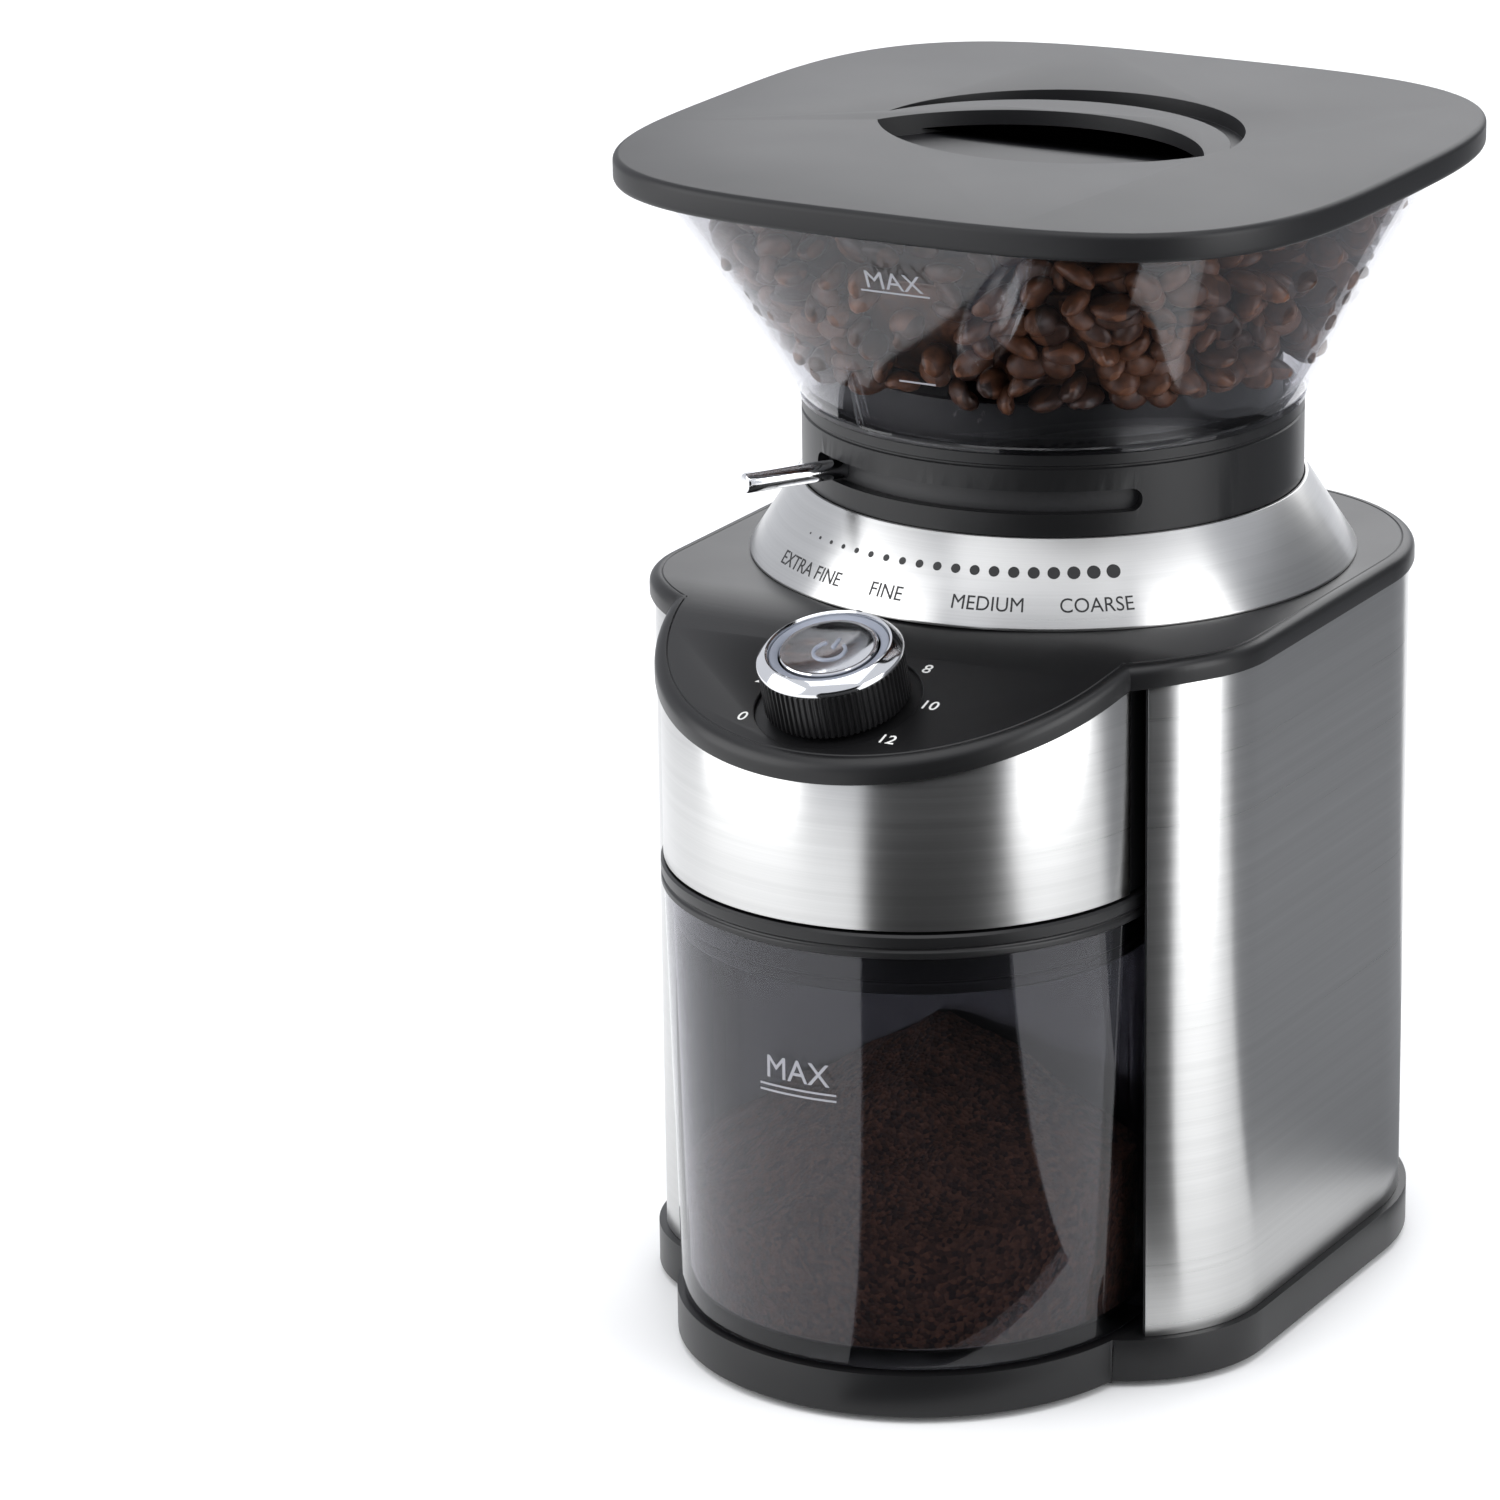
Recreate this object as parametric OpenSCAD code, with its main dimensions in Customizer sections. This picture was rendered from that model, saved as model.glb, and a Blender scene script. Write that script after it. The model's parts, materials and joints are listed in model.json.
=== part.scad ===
// Conical burr coffee grinder: bean hopper and lid, stepped grind lever, timer knob with a start
// button, pull-out grounds container, and the motor, gear train and burrs inside the housing.
// Origin: on the table under the middle of the machine. +Z up, the container faces -Y.

/* [Overall] */
// Height from the table to the top of the lid
overall_h = 265; // [258:1:280]
// Half width of the rear body
body_half_w = 75.5; // [72:0.5:84]
// Burr axis to the front face of the rear body
body_front = 78; // [76:1:84]
// Burr axis to the back of the rear body
body_back = 72; // [71:1:86]
// Corner radius at the front of the rear body
front_corner_r = 34; // [28:1:38]
// Corner radius at the back of the rear body
back_corner_r = 50; // [40:1:55]
// Height of the flat deck above the table
deck_z = 169; // [168:1:174]

/* [Front drum] */
// Radius of the control deck over the drum
drum_r = 58; // [57:0.5:58.5]
// Burr axis to the drum's axis
drum_reach = 65; // [63:0.5:68]
// Bottom edge of the curved steel panel
panel_bottom_z = 115.5; // [112:0.5:118]
// Slope of the control deck, in degrees
deck_tilt = 17; // [12:1:18]
// Burr axis to the line where the deck starts to fall
crease_y = 62; // [58:1:66]
// Radius of the bend between the flat deck and the slope
crease_r = 60; // [40:1:80]

/* [Shells] */
// Clearance under the base, made by the feet
foot_gap = 1.5; // [1:0.5:3]
// Top of the base
base_top = 11.5; // [10:0.5:14]
// Radius of the base under the drum
base_drum_r = 55.5; // [54:0.5:57]
// How far the base stands out past the steel wrap's line
base_flare = 0.6; // [0:0.1:1]
// Thickness of the moulded floors
floor_t = 2.5; // [2:0.5:3]
// Thickness of the steel sheet
steel_t = 0.8; // [0.6:0.1:1]
// Setback of the steel sheet behind the deck's edge
steel_inset = 1.2; // [0.8:0.1:1.5]
// Thickness of the top cover
cover_t = 2.8; // [2.4:0.1:3]
// Depth of the top cover's rim
rim_h = 5.2; // [4.5:0.1:6]
// Wall of the inner chassis
chassis_t = 2; // [1.6:0.2:2.4]

/* [Cone and collar] */
// Bottom radius of the steel cone
cone_r1 = 69.2; // [67:0.2:70]
// Top radius of the steel cone
cone_r2 = 58; // [57.8:0.1:60]
// Height of the steel cone
cone_h = 18; // [16:1:19]
// Outer radius of the black collar
collar_r = 57; // [56.8:0.1:57]
// Wall of the collar
collar_t = 2.5; // [2:0.1:2.8]
// Top of the collar
collar_top = 205.5; // [204.5:0.5:210]
// Height of the lever's slot
slot_h = 5.4; // [5.2:0.1:5.8]

/* [Grind setting] */
// Lever's angle at the finest setting, anticlockwise from the front
lever_rest = 32; // [20:1:40]
// Lever's sweep to the coarsest setting
lever_sweep = 72; // [60:1:80]
// Radius of the lever's pin
lever_r = 2.3; // [2:0.1:2.4]
// Length of the lever outside the collar
lever_out = 22; // [18:1:26]

/* [Hopper and lid] */
// Half width of the lid
lid_half = 87; // [86:1:94]
// Squareness of the lid and hopper mouth
squareness = 3.4; // [3:0.1:4]
// Depth of the lid's edge
lid_edge = 6.5; // [6:0.5:8]
// Half width of the hopper's mouth
hopper_half = 81.5; // [79:0.5:82]
// Wall of the hopper
hopper_t = 1.8; // [1.5:0.1:2.2]
// Radius of the round dish in the lid
dish_r = 43; // [38:1:45]
// Depth of the dish
dish_depth = 4.6; // [4.4:0.1:5]

/* [Grounds container] */
// Radius of the container's clear wall at its top
jar_r = 56.8; // [55:0.2:57]
// Radius of the container's clear wall at its foot
jar_foot_r = 54.3; // [53:0.1:55]
// Wall of the container
jar_t = 1.8; // [1.6:0.1:2.2]
// Burr axis to the container's flat back
jar_back = 56.8; // [56.6:0.1:57.4]
// Depth of the band round the container's lid
jar_lid_h = 5.6; // [5:0.1:6.5]

/* [Timer knob] */
// Burr axis to the knob's axis
knob_reach = 100.7; // [99:0.1:103]
// Radius of the knob
knob_r = 16.2; // [15:0.2:17]
// Height of the knob
knob_h = 14; // [12:0.5:15]
// Radius of the start button
button_r = 10.9; // [10:0.1:11.2]

/* [Burrs and drive] */
// Largest radius of the turning cone burr
cone_burr_r = 22.8; // [22:0.1:23]
// Gap between the burrs at the finest setting
burr_gap = 0.4; // [0.35:0.05:0.6]
// Rise of the ring burr for one full turn of the lever's ring
thread_lead = 6; // [4:0.5:7]
// Radius of the burr shaft
shaft_r = 4; // [3.5:0.5:4.5]
// Module of the fast gear pair
fast_module = 1; // [1:0.05:1.05]
// Module of the slow gear pair
slow_module = 1.25; // [1.2:0.05:1.3]
// Radius of the motor's can
motor_r = 29; // [27:0.5:30]
// Length of the motor's can
motor_h = 64; // [58:1:66]

/* [Hidden] */
$fn = 96;
eps = 0.01;
slip = 0.3;         // between pieces that slide past each other
run = 0.05;         // radial running clearance of a shaft in its hole
snug = 0.1;         // between fixed pieces
axis_y = (drum_reach + drum_r - lid_half) / 2;
cone_top = deck_z + cone_h;
wrap_inner = steel_inset + steel_t;
chassis_inset = wrap_inner + snug;
bay_half = 58.8;                              // half width of the container's bay
bay_back = jar_back - 0.8;                    // burr axis to the bay's back wall
wrap_edge_x = bay_half + 1.2;                 // where the wrap ends at the front
jar_base = base_top + 0.4;
jar_lid_top = panel_bottom_z - 0.5;
jar_top = jar_lid_top - jar_lid_h;
hopper_rim = overall_h - 2.5 - slip;
collar_in = collar_r - collar_t;
ring_out = collar_in - slip;
ring_in = 47.5;
ledge_z = cone_top + 0.7;
ring_z = ledge_z + slip;
ring_h = 12;
seat_z = ring_z + ring_h + 2;                 // lowest point of the hopper's plug
lever_z = ring_z + 6.7;
carrier_top = ring_z + ring_h - 1;
carrier_floor = deck_z + 7;
burr_low = carrier_floor - 15;
chamber_z = deck_z - 26;                      // underside of the grinding chamber
chamber_floor = chamber_z + 6;
cover_z = chamber_z - 3;
gearbox_z = chamber_z - 39;
gearbox_floor = gearbox_z + 3;
slow_z = gearbox_z + 20;
fast_z = gearbox_z + 8.5;
fast_teeth = [48, 12];
slow_teeth = [42, 14];
fast_centres = fast_module * (fast_teeth[0] + fast_teeth[1]) / 2;
slow_centres = slow_module * (slow_teeth[0] + slow_teeth[1]) / 2;
motor_y = 30;
idler_y = (motor_y * motor_y + slow_centres * slow_centres - fast_centres * fast_centres) / (2 * motor_y);
idler_x = sqrt(slow_centres * slow_centres - idler_y * idler_y);
idler_angle = atan2(idler_y, idler_x);
motor_angle = atan2(motor_y - idler_y, -idler_x);
motor_z = gearbox_z - motor_h;
post_x = 52;
post_y = [-30, 50];
feet_at = [[-50, 36], [50, 36], [-32, -96], [32, -96]];
board_x = -(body_half_w - chassis_inset - chassis_t - 5);
mouth_y = [-77.7, -59.8];                     // front and back of the chute's mouth
mouth_half = 12.2;
gland_z = 24;

// ---- shared outlines and helpers ----

module at_axis() { translate([0, axis_y, 0]) children(); }

// Rear body seen from above, drawn in by d, with true arcs at its corners
module body_outline(d) {
    fx = body_half_w - front_corner_r;
    fy = body_front - front_corner_r;
    bx = body_half_w - back_corner_r;
    by = body_back - back_corner_r;
    for (s = [-1, 1]) {
        translate([s * fx, -fy]) circle(r = front_corner_r - d);
        translate([s * bx, by]) circle(r = back_corner_r - d);
    }
    polygon([[-fx, -body_front + d], [fx, -body_front + d], [body_half_w - d, -fy],
        [body_half_w - d, by], [bx, body_back - d], [-bx, body_back - d],
        [-body_half_w + d, by], [-body_half_w + d, -fy]]);
}

module drum_disc(r) { translate([0, -drum_reach]) circle(r = r); }

// Lid and hopper mouth seen from above: a square with bowed sides
function squircle(half) = [for (i = [0:71]) let (c = cos(i * 5), s = sin(i * 5))
    [half * sign(c) * pow(abs(c), 2 / squareness), half * sign(s) * pow(abs(s), 2 / squareness)]];

// Height of the deck's top surface at a distance y in front of the burr axis
bend_end = crease_y + crease_r * sin(deck_tilt);
bend_drop = crease_r * (1 - cos(deck_tilt));
function deck_at(y) = deck_z - bend_drop - (y - bend_end) * tan(deck_tilt);

// Everything below the deck's top surface lowered by drop
module under_deck(drop, low = 90) {
    far = 140;
    rotate([90, 0, 90]) linear_extrude(240, center = true)
        polygon(concat([[far, low], [far, deck_z - drop]],
            [for (i = [0:8]) let (a = deck_tilt * i / 8)
                [-crease_y - crease_r * sin(a), deck_z - drop - crease_r * (1 - cos(a))]],
            [[-far, deck_at(far) - drop], [-far, low]]));
}

// Places children on the sloping deck at the knob, with +Z along the knob's axis
module on_slope() {
    translate([0, -knob_reach, deck_at(knob_reach)]) rotate([deck_tilt, 0, 0]) children();
}

module tube(r_out, r_in, h) {
    difference() {
        cylinder(r = r_out, h = h);
        translate([0, 0, -1]) cylinder(r = r_in, h = h + 2);
    }
}

module screw(shank, head_r = 3, head_h = 2, shank_r = 1.5) {
    translate([0, 0, -shank]) cylinder(r = shank_r, h = shank + eps, $fn = 32);
    difference() {
        cylinder(r = head_r, h = head_h, $fn = 32);
        for (a = [0, 90]) rotate([0, 0, a]) translate([-1.6, -0.4, head_h - 0.8]) cube([3.2, 0.8, 2]);
    }
}

// Involute spur gear outline with its first tooth on +X
function roll(t) = (tan(t) - t * PI / 180) * 180 / PI;
module gear_outline(m, teeth, lash = 0.22) {
    pressure = 25;
    pitch = m * teeth / 2;
    base_r = pitch * cos(pressure);
    tip = pitch + 0.95 * m;
    root = pitch - 1.2 * m;
    half = 90 / teeth - lash / 2 / pitch * 180 / PI;
    steps = 4;
    function flank(k) = let (r = max(base_r, root) + (tip - max(base_r, root)) * k / steps,
        a = half + roll(pressure) - roll(acos(min(1, base_r / r)))) [r, a];
    polygon([for (t = [0:teeth - 1]) let (c = 360 * t / teeth)
        for (p = concat([[root, -flank(0)[1]]], [for (k = [0:steps]) [flank(k)[0], -flank(k)[1]]],
            [for (k = [steps:-1:0]) flank(k)], [[root, flank(0)[1]]]))
            [p[0] * cos(c + p[1]), p[0] * sin(c + p[1])]]);
}

// ---- housing ----

module base() color("#2b2b2d") at_axis() difference() {
    union() {
        difference() {
            translate([0, 0, foot_gap]) linear_extrude(base_top - foot_gap) {
                body_outline(-base_flare);
                drum_disc(base_drum_r);
            }
            translate([0, 0, foot_gap + floor_t]) linear_extrude(base_top) difference() {
                body_outline(wrap_inner);
                translate([-100, -200 - bay_back + 2]) square([200, 200]);
            }
            translate([0, 0, foot_gap - 1]) linear_extrude(base_top - foot_gap - floor_t + 1)
                intersection() {
                    drum_disc(base_drum_r - 3);
                    translate([-100, -200 - bay_back - 1]) square([200, 200]);
                }
        }
        for (p = feet_at) translate([p[0], p[1], foot_gap])
            cylinder(r = 9.5, h = base_top - foot_gap - floor_t + eps);
        translate([0, -drum_reach, foot_gap]) for (a = [-135, -90, -45]) rotate([0, 0, a])
            translate([0, -1, 0]) cube([base_drum_r - 2, 2, base_top - foot_gap - floor_t + eps]);
    }
    for (p = feet_at) translate([p[0], p[1], foot_gap - 1]) cylinder(r = 7.5 + snug, h = 2.5);
    for (x = [-post_x, post_x], y = post_y) translate([x, y, foot_gap - 1]) {
        cylinder(r = 3.3, h = 2.9, $fn = 32);
        cylinder(r = 1.6, h = 10, $fn = 32);
    }
}

module rubber_feet() color("#1c1c1d") at_axis()
    for (p = feet_at) translate([p[0], p[1], 0]) cylinder(r = 7.5, h = foot_gap + 1.5);

module chassis() color("#232325") at_axis() intersection() {
    under_deck(rim_h + snug, 0);
    chassis_shell();
}

module chassis_shell() difference() {
    z = foot_gap + floor_t;
    h = deck_z - rim_h - z - snug;
    union() {
        translate([0, 0, z]) linear_extrude(h) difference() {
            body_outline(chassis_inset);
            body_outline(chassis_inset + chassis_t);
        }
        translate([0, 0, base_top]) linear_extrude(h - base_top + z) intersection() {
            body_outline(chassis_inset);
            union() {
                for (s = [-1, 1]) translate([s * (bay_half + 1) - 1, -90]) square([2, 92 - bay_back]);
                translate([-bay_half - 2, -bay_back]) square([2 * bay_half + 4, 2]);
            }
        }
        for (s = [-1, 1], y = post_y) {
            translate([s * post_x, y, z]) cylinder(r = 4.5, h = gearbox_z - z);
            by = body_back - back_corner_r;
            wall_x = y < by ? body_half_w - chassis_inset - 1 : body_half_w - back_corner_r
                + sqrt(pow(back_corner_r - chassis_inset - 1, 2) - pow(y - by, 2));
            translate([s > 0 ? post_x : -wall_x, y - 1, z])
                cube([wall_x - post_x, 2, gearbox_z - z - 10]);
        }
        for (y = [-20, 12], bz = [35, 85]) translate([board_x, y, bz]) rotate([0, -90, 0])
            cylinder(r = 3, h = 6, $fn = 32);
    }
    translate([-100, -150, 0]) cube([200, 152.1 - bay_back, base_top + 0.05]);
    translate([-wrap_edge_x + 0.8, -150, base_top]) cube([2 * wrap_edge_x - 1.6, 150 - bay_back, 200]);
    translate([-bay_half + 1, -bay_back - 1, panel_bottom_z - 1]) cube([2 * bay_half - 2, 6, 100]);
    for (x = [-post_x, post_x], y = post_y) translate([x, y, z - 1]) {
        cylinder(r = 1.5, h = 14, $fn = 32);
        translate([0, 0, gearbox_z - z - 10]) cylinder(r = 1.5, h = 14, $fn = 32);
    }
    translate([0, body_back - 10, gland_z]) rotate([-90, 0, 0]) cylinder(r = 6.1, h = 20);
}

module body_wrap() color("#c9c9c7") at_axis() difference() {
    intersection() {
        translate([0, 0, base_top]) linear_extrude(deck_z) difference() {
            body_outline(steel_inset);
            body_outline(wrap_inner);
        }
        under_deck(rim_h + snug, 0);
    }
    translate([-wrap_edge_x, -150, 0]) cube([2 * wrap_edge_x, 110, 200]);
    translate([0, body_back - 10, gland_z]) rotate([-90, 0, 0]) cylinder(r = 6.1, h = 20);
}

module front_panel() color("#cfcfcd") at_axis() intersection() {
    translate([0, -drum_reach, panel_bottom_z]) tube(drum_r - steel_inset, drum_r - wrap_inner, 60);
    under_deck(rim_h + snug);
    translate([-100, -200 - body_front + 6, 0]) cube([200, 200, 200]);
}

module housing_plan(r) {
    drum_disc(r);
    translate([-r, -drum_reach]) square([2 * r, drum_reach - bay_back - 0.2]);
}

module front_housing() color("#1f1f21") at_axis() difference() {
    r = drum_r - wrap_inner - snug;
    intersection() {
        translate([0, 0, panel_bottom_z + 0.1]) linear_extrude(60) housing_plan(r);
        under_deck(rim_h + snug);
        translate([-100, -200 - bay_back, 0]) cube([200, 200, 200]);
    }
    translate([0, 0, panel_bottom_z + 0.1 + 2]) linear_extrude(80) difference() {
        housing_plan(r - 2);
        translate([-100, -bay_back - 2]) square([200, 200]);
    }
    translate([-15, -80.5, panel_bottom_z - 1]) cube([30, 80, 100]);
    translate([-bay_half, -bay_back - 5, panel_bottom_z + 30]) cube([2 * bay_half, 10, 80]);
}

module top_cover() color("#2d2d2f") at_axis() difference() {
    union() {
        difference() {
            intersection() {
                translate([0, 0, 100]) linear_extrude(100) { body_outline(0); drum_disc(drum_r); }
                under_deck(0);
            }
            intersection() {
                translate([0, 0, 90]) linear_extrude(110) {
                    body_outline(2.5);
                    drum_disc(drum_r - 2.5);
                }
                under_deck(cover_t, 80);
            }
            under_deck(rim_h, 80);
        }
        difference() {
            translate([0, 0, deck_z - cover_t]) cylinder(r = cone_r1 + 0.9, h = cover_t);
            translate([-100, -20, deck_z - 50]) cube([200, 200, 40]);
        }
    }
    translate([0, 0, deck_z - 20]) cylinder(r = 50, h = 40);
    on_slope() {
        translate([0, 0, -10]) cylinder(r = 6, h = 20);
        translate([0, 0, -0.9]) cylinder(r = knob_r + 2.2, h = 5);
    }
}

module cone_skirt() color("#d3d3d1") at_axis() rotate_extrude() polygon([
    [cone_r1 - steel_t, deck_z + 0.05], [cone_r1, deck_z + 0.05], [cone_r1, deck_z + 0.6],
    [cone_r2, cone_top], [cone_r2 - steel_t, cone_top], [cone_r2 - steel_t, cone_top - 0.8],
    [cone_r1 - steel_t - 0.4, deck_z + 0.6]]);

module lever_slot() {
    spare = 3;
    translate([0, 0, lever_z - slot_h / 2]) rotate([0, 0, -90 - lever_rest - spare])
        rotate_extrude(angle = lever_sweep + 2 * spare)
            translate([collar_in - 2, 0]) square([collar_t + 4, slot_h]);
}

module collar() color("#242426") at_axis() difference() {
    union() {
        translate([0, 0, deck_z + 0.05]) tube(cone_r2 - steel_t - 0.6, collar_in, cone_h);
        translate([0, 0, cone_top - 1]) tube(collar_r, collar_in, 1);
        translate([0, 0, cone_top]) tube(collar_r, collar_in, collar_top - cone_top);
        translate([0, 0, ledge_z - 3]) tube(collar_in + 0.5, 49, 3);
        translate([0, 0, deck_z + 0.05]) tube(collar_in + 0.5, 50.5, 2.5);
    }
    lever_slot();
}

// ---- grinding chamber, chute and gearbox ----

module grind_chamber() color("#8b8d90") at_axis() difference() {
    union() {
        translate([0, 0, chamber_z]) cylinder(r = 46, h = 6);
        translate([0, 0, chamber_z]) tube(46, 43.2, deck_z + 3 - chamber_z);
    }
    translate([0, 0, chamber_z - 1]) cylinder(r = 11.02, h = 8);
    translate([-11, -60, chamber_floor + 0.5]) cube([22, 30, 11]);
    for (a = [90, 210, 330]) rotate([0, 0, a]) translate([33, 0, chamber_z - 1]) {
        cylinder(r = 1.55, h = 10, $fn = 32);
        translate([0, 0, 4.4]) cylinder(r = 3.1, h = 5, $fn = 32);
    }
}

module chute() color("#1d1d1f") at_axis() rotate([90, 0, 90]) {
    back = -46.3;
    top = chamber_floor + 14.5;
    low = panel_bottom_z + 0.3;
    difference() {
        translate([0, 0, -mouth_half - 1.8]) linear_extrude(2 * mouth_half + 3.6)
            polygon([[back, chamber_floor - 1.6], [mouth_y[1] + 1.8, chamber_floor - 12],
                [mouth_y[1] + 1.8, low], [mouth_y[0] - 1.8, low], [mouth_y[0] - 1.8, top - 12.5],
                [mouth_y[0] + 11, top], [back, top]]);
        translate([0, 0, -mouth_half]) linear_extrude(2 * mouth_half)
            polygon([[back + 1, chamber_floor + 0.2], [mouth_y[1], chamber_floor - 11],
                [mouth_y[1], low - 1], [mouth_y[0], low - 1], [mouth_y[0], top - 13.2],
                [mouth_y[0] + 12, top - 1.8], [back + 1, top - 1.8]]);
    }
}

module gear_plan(d) {
    circle(r = 33 - d);
    translate([idler_x, idler_y]) circle(r = fast_module * fast_teeth[0] / 2 + 6 - d);
    translate([0, motor_y]) circle(r = 22 - d);
}

module gearbox_housing() color("#3b3d40") at_axis() difference() {
    union() {
        translate([0, 0, gearbox_z]) linear_extrude(3) difference() {
            translate([-post_x - 5, post_y[0] - 5]) square([2 * post_x + 10, post_y[1] - post_y[0] + 10]);
            for (s = [-1, 1]) translate([s * 60, post_y[1] + 8]) circle(r = 10);
        }
        translate([0, 0, gearbox_floor - eps]) linear_extrude(cover_z - gearbox_floor) difference() {
            gear_plan(0);
            gear_plan(2.5);
        }
        translate([0, 0, gearbox_floor - eps]) cylinder(r = 9, h = 5);
    }
    translate([0, 0, gearbox_z - 1]) cylinder(r = 6.02, h = 20);
    translate([0, motor_y, gearbox_z - 1]) cylinder(r = 7.5, h = 10);
    translate([idler_x, idler_y, gearbox_z - 1]) cylinder(r = 2.52, h = 10);
    for (x = [-14, 14]) translate([x, motor_y, gearbox_z - 1]) cylinder(r = 1.6, h = 10, $fn = 32);
    for (x = [-post_x, post_x], y = post_y) translate([x, y, gearbox_z - 1])
        cylinder(r = 1.6, h = 10, $fn = 32);
}

module gearbox_cover() color("#3b3d40") at_axis() difference() {
    translate([0, 0, cover_z]) linear_extrude(3) { gear_plan(0); circle(r = 46); }
    translate([0, 0, cover_z - 1]) cylinder(r = shaft_r + 0.8, h = 10);
    translate([idler_x, idler_y, cover_z - 1]) cylinder(r = 2.52, h = 10);
    for (a = [90, 210, 330]) rotate([0, 0, a]) translate([33, 0, cover_z - 1])
        cylinder(r = 1.55, h = 10, $fn = 32);
}

module upper_bearing() color("#b9bcc0") at_axis() translate([0, 0, chamber_z]) difference() {
    tube(11, shaft_r + run, 6);
    translate([0, 0, 5.6]) tube(9.4, 6, 2);
}

module lower_bush() color("#b08d57") at_axis()
    translate([0, 0, gearbox_z]) tube(6, shaft_r + run, 8);

module idler_pin() color("#a9acb0") at_axis()
    translate([idler_x, idler_y, gearbox_z + 0.5]) cylinder(r = 2.5, h = chamber_z - gearbox_z - 1);

// ---- motor ----

module motor_can() color("#9a9da1") at_axis() translate([0, motor_y, motor_z]) difference() {
    cylinder(r = motor_r, h = motor_h);
    translate([0, 0, -1]) cylinder(r = motor_r - 1.5, h = motor_h - 0.5);
    cylinder(r = 7, h = motor_h + 1);
    for (x = [-14, 14]) translate([x, 0, 10]) cylinder(r = 1.52, h = motor_h, $fn = 32);
    for (a = [45:90:315]) rotate([0, 0, a]) translate([motor_r - 3, 0, 8]) rotate([0, 90, 0])
        cylinder(r = 3, h = 6, $fn = 32);
}

module motor_end_bell() color("#39393b") at_axis() translate([0, motor_y, motor_z - 4]) difference() {
    union() {
        cylinder(r = motor_r, h = 4);
        translate([0, 0, 3.9]) tube(motor_r - 1.6, motor_r - 3.6, 4);
        cylinder(r = 6, h = 6);
    }
    translate([0, 0, 1]) cylinder(r = 2.5 + run, h = 10);
}

module motor_magnets() color("#4a4442") at_axis() translate([0, motor_y, motor_z + 14])
    for (a = [-60, 120]) rotate([0, 0, a]) rotate_extrude(angle = 120)
        translate([motor_r - 1.6 - 3.4, 0]) square([3.4, 40]);

module motor_bush() color("#b08d57") at_axis()
    translate([0, motor_y, gearbox_z - 5]) tube(6.95, 2.5 + run, 5);

module brush_holders() color("#6b4a2c") at_axis() translate([0, motor_y, motor_z + 4])
    for (a = [0, 180]) rotate([0, 0, a]) translate([9.6, -3, 0]) cube([motor_r - 3.8 - 9.6, 6, 6]);

module control_board() color("#1f6b3f") at_axis() difference() {
    translate([board_x, -27, 24]) cube([1.6, 56, 72]);
    for (y = [-20, 12], z = [35, 85]) translate([board_x - 1, y, z]) rotate([0, 90, 0])
        cylinder(r = 1.3, h = 4, $fn = 24);
}

module board_parts() color("#31343a") at_axis() translate([board_x + 1.6, 0, 0]) {
    translate([0, -24, 42]) cube([12, 15, 20]);
    translate([0, -2, 30]) cube([10, 12, 12]);
    for (y = [-2, 12]) translate([0, y, 60]) rotate([0, 90, 0]) cylinder(r = 5, h = 13, $fn = 32);
    translate([0, -6, 74]) cube([5, 22, 6]);
}

// ---- timer, start switch, gland and screws ----

module timer_body() color("#2f3033") at_axis() on_slope() difference() {
    union() {
        translate([0, 0, -24]) cylinder(r = 13.5, h = 24 - cover_t - 0.1);
        translate([0, 0, -cover_t - 0.2]) cylinder(r = 4.5, h = cover_t + 5);
    }
    translate([0, 0, -30]) cylinder(r = 2.9, h = 50);
}

module start_switch() color("#d8d2c4") at_axis() on_slope() {
    difference() {
        union() {
            translate([-6, -6, -34]) cube([12, 12, 8]);
            translate([-9, -3.5, -26]) cube([18, 7, 1.9]);
        }
        translate([0, 0, -27.2]) cylinder(r = 2.9, h = 20);
    }
}

module cord_gland() color("#1b1b1c") at_axis() translate([0, body_back - steel_inset, gland_z])
    rotate([-90, 0, 0]) difference() {
        union() {
            translate([0, 0, -chassis_t - steel_t - 3]) cylinder(r = 6, h = chassis_t + steel_t + 4);
            cylinder(r = 9, h = 3);
            translate([0, 0, -chassis_t - steel_t - 3.2]) cylinder(r = 8, h = 2.2);
        }
        translate([0, 0, -10]) cylinder(r = 3.4, h = 20);
    }

module base_screws() color("#9b9da0") at_axis()
    for (x = [-post_x, post_x], y = post_y) translate([x, y, foot_gap + 1.9]) rotate([180, 0, 0])
        screw(10, 3, 1.7, 1.45);

module gearbox_screws() color("#9b9da0") at_axis()
    for (x = [-post_x, post_x], y = post_y) translate([x, y, gearbox_floor]) screw(10, 3, 2, 1.45);

module chamber_screws() color("#9b9da0") at_axis() for (a = [90, 210, 330]) rotate([0, 0, a])
    translate([33, 0, chamber_z + 3.5]) screw(5.5, 2.9, 2.2, 1.5);

module motor_screws() color("#9b9da0") at_axis()
    for (x = [-14, 14]) translate([x, motor_y, gearbox_floor]) screw(8, 3, 2, 1.5);

// ---- hopper and lid ----

module hopper() color("#b9bcc4", 0.5) at_axis() difference() {
    union() {
        hull() {
            translate([0, 0, collar_top + 0.1]) cylinder(r = collar_r, h = 0.4, $fn = 72);
            translate([0, 0, hopper_rim - 0.4]) linear_extrude(0.4) polygon(squircle(hopper_half));
        }
        translate([0, 0, seat_z]) cylinder(r = collar_in - 0.5, h = collar_top - seat_z + 0.2);
    }
    hull() {
        translate([0, 0, collar_top + 1.8]) cylinder(r = collar_r - hopper_t - 0.4, h = 0.2, $fn = 72);
        translate([0, 0, hopper_rim]) linear_extrude(0.4) polygon(squircle(hopper_half - hopper_t));
    }
    translate([0, 0, seat_z - 1]) cylinder(r = collar_in - 0.5 - hopper_t, h = 20);
}

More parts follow.
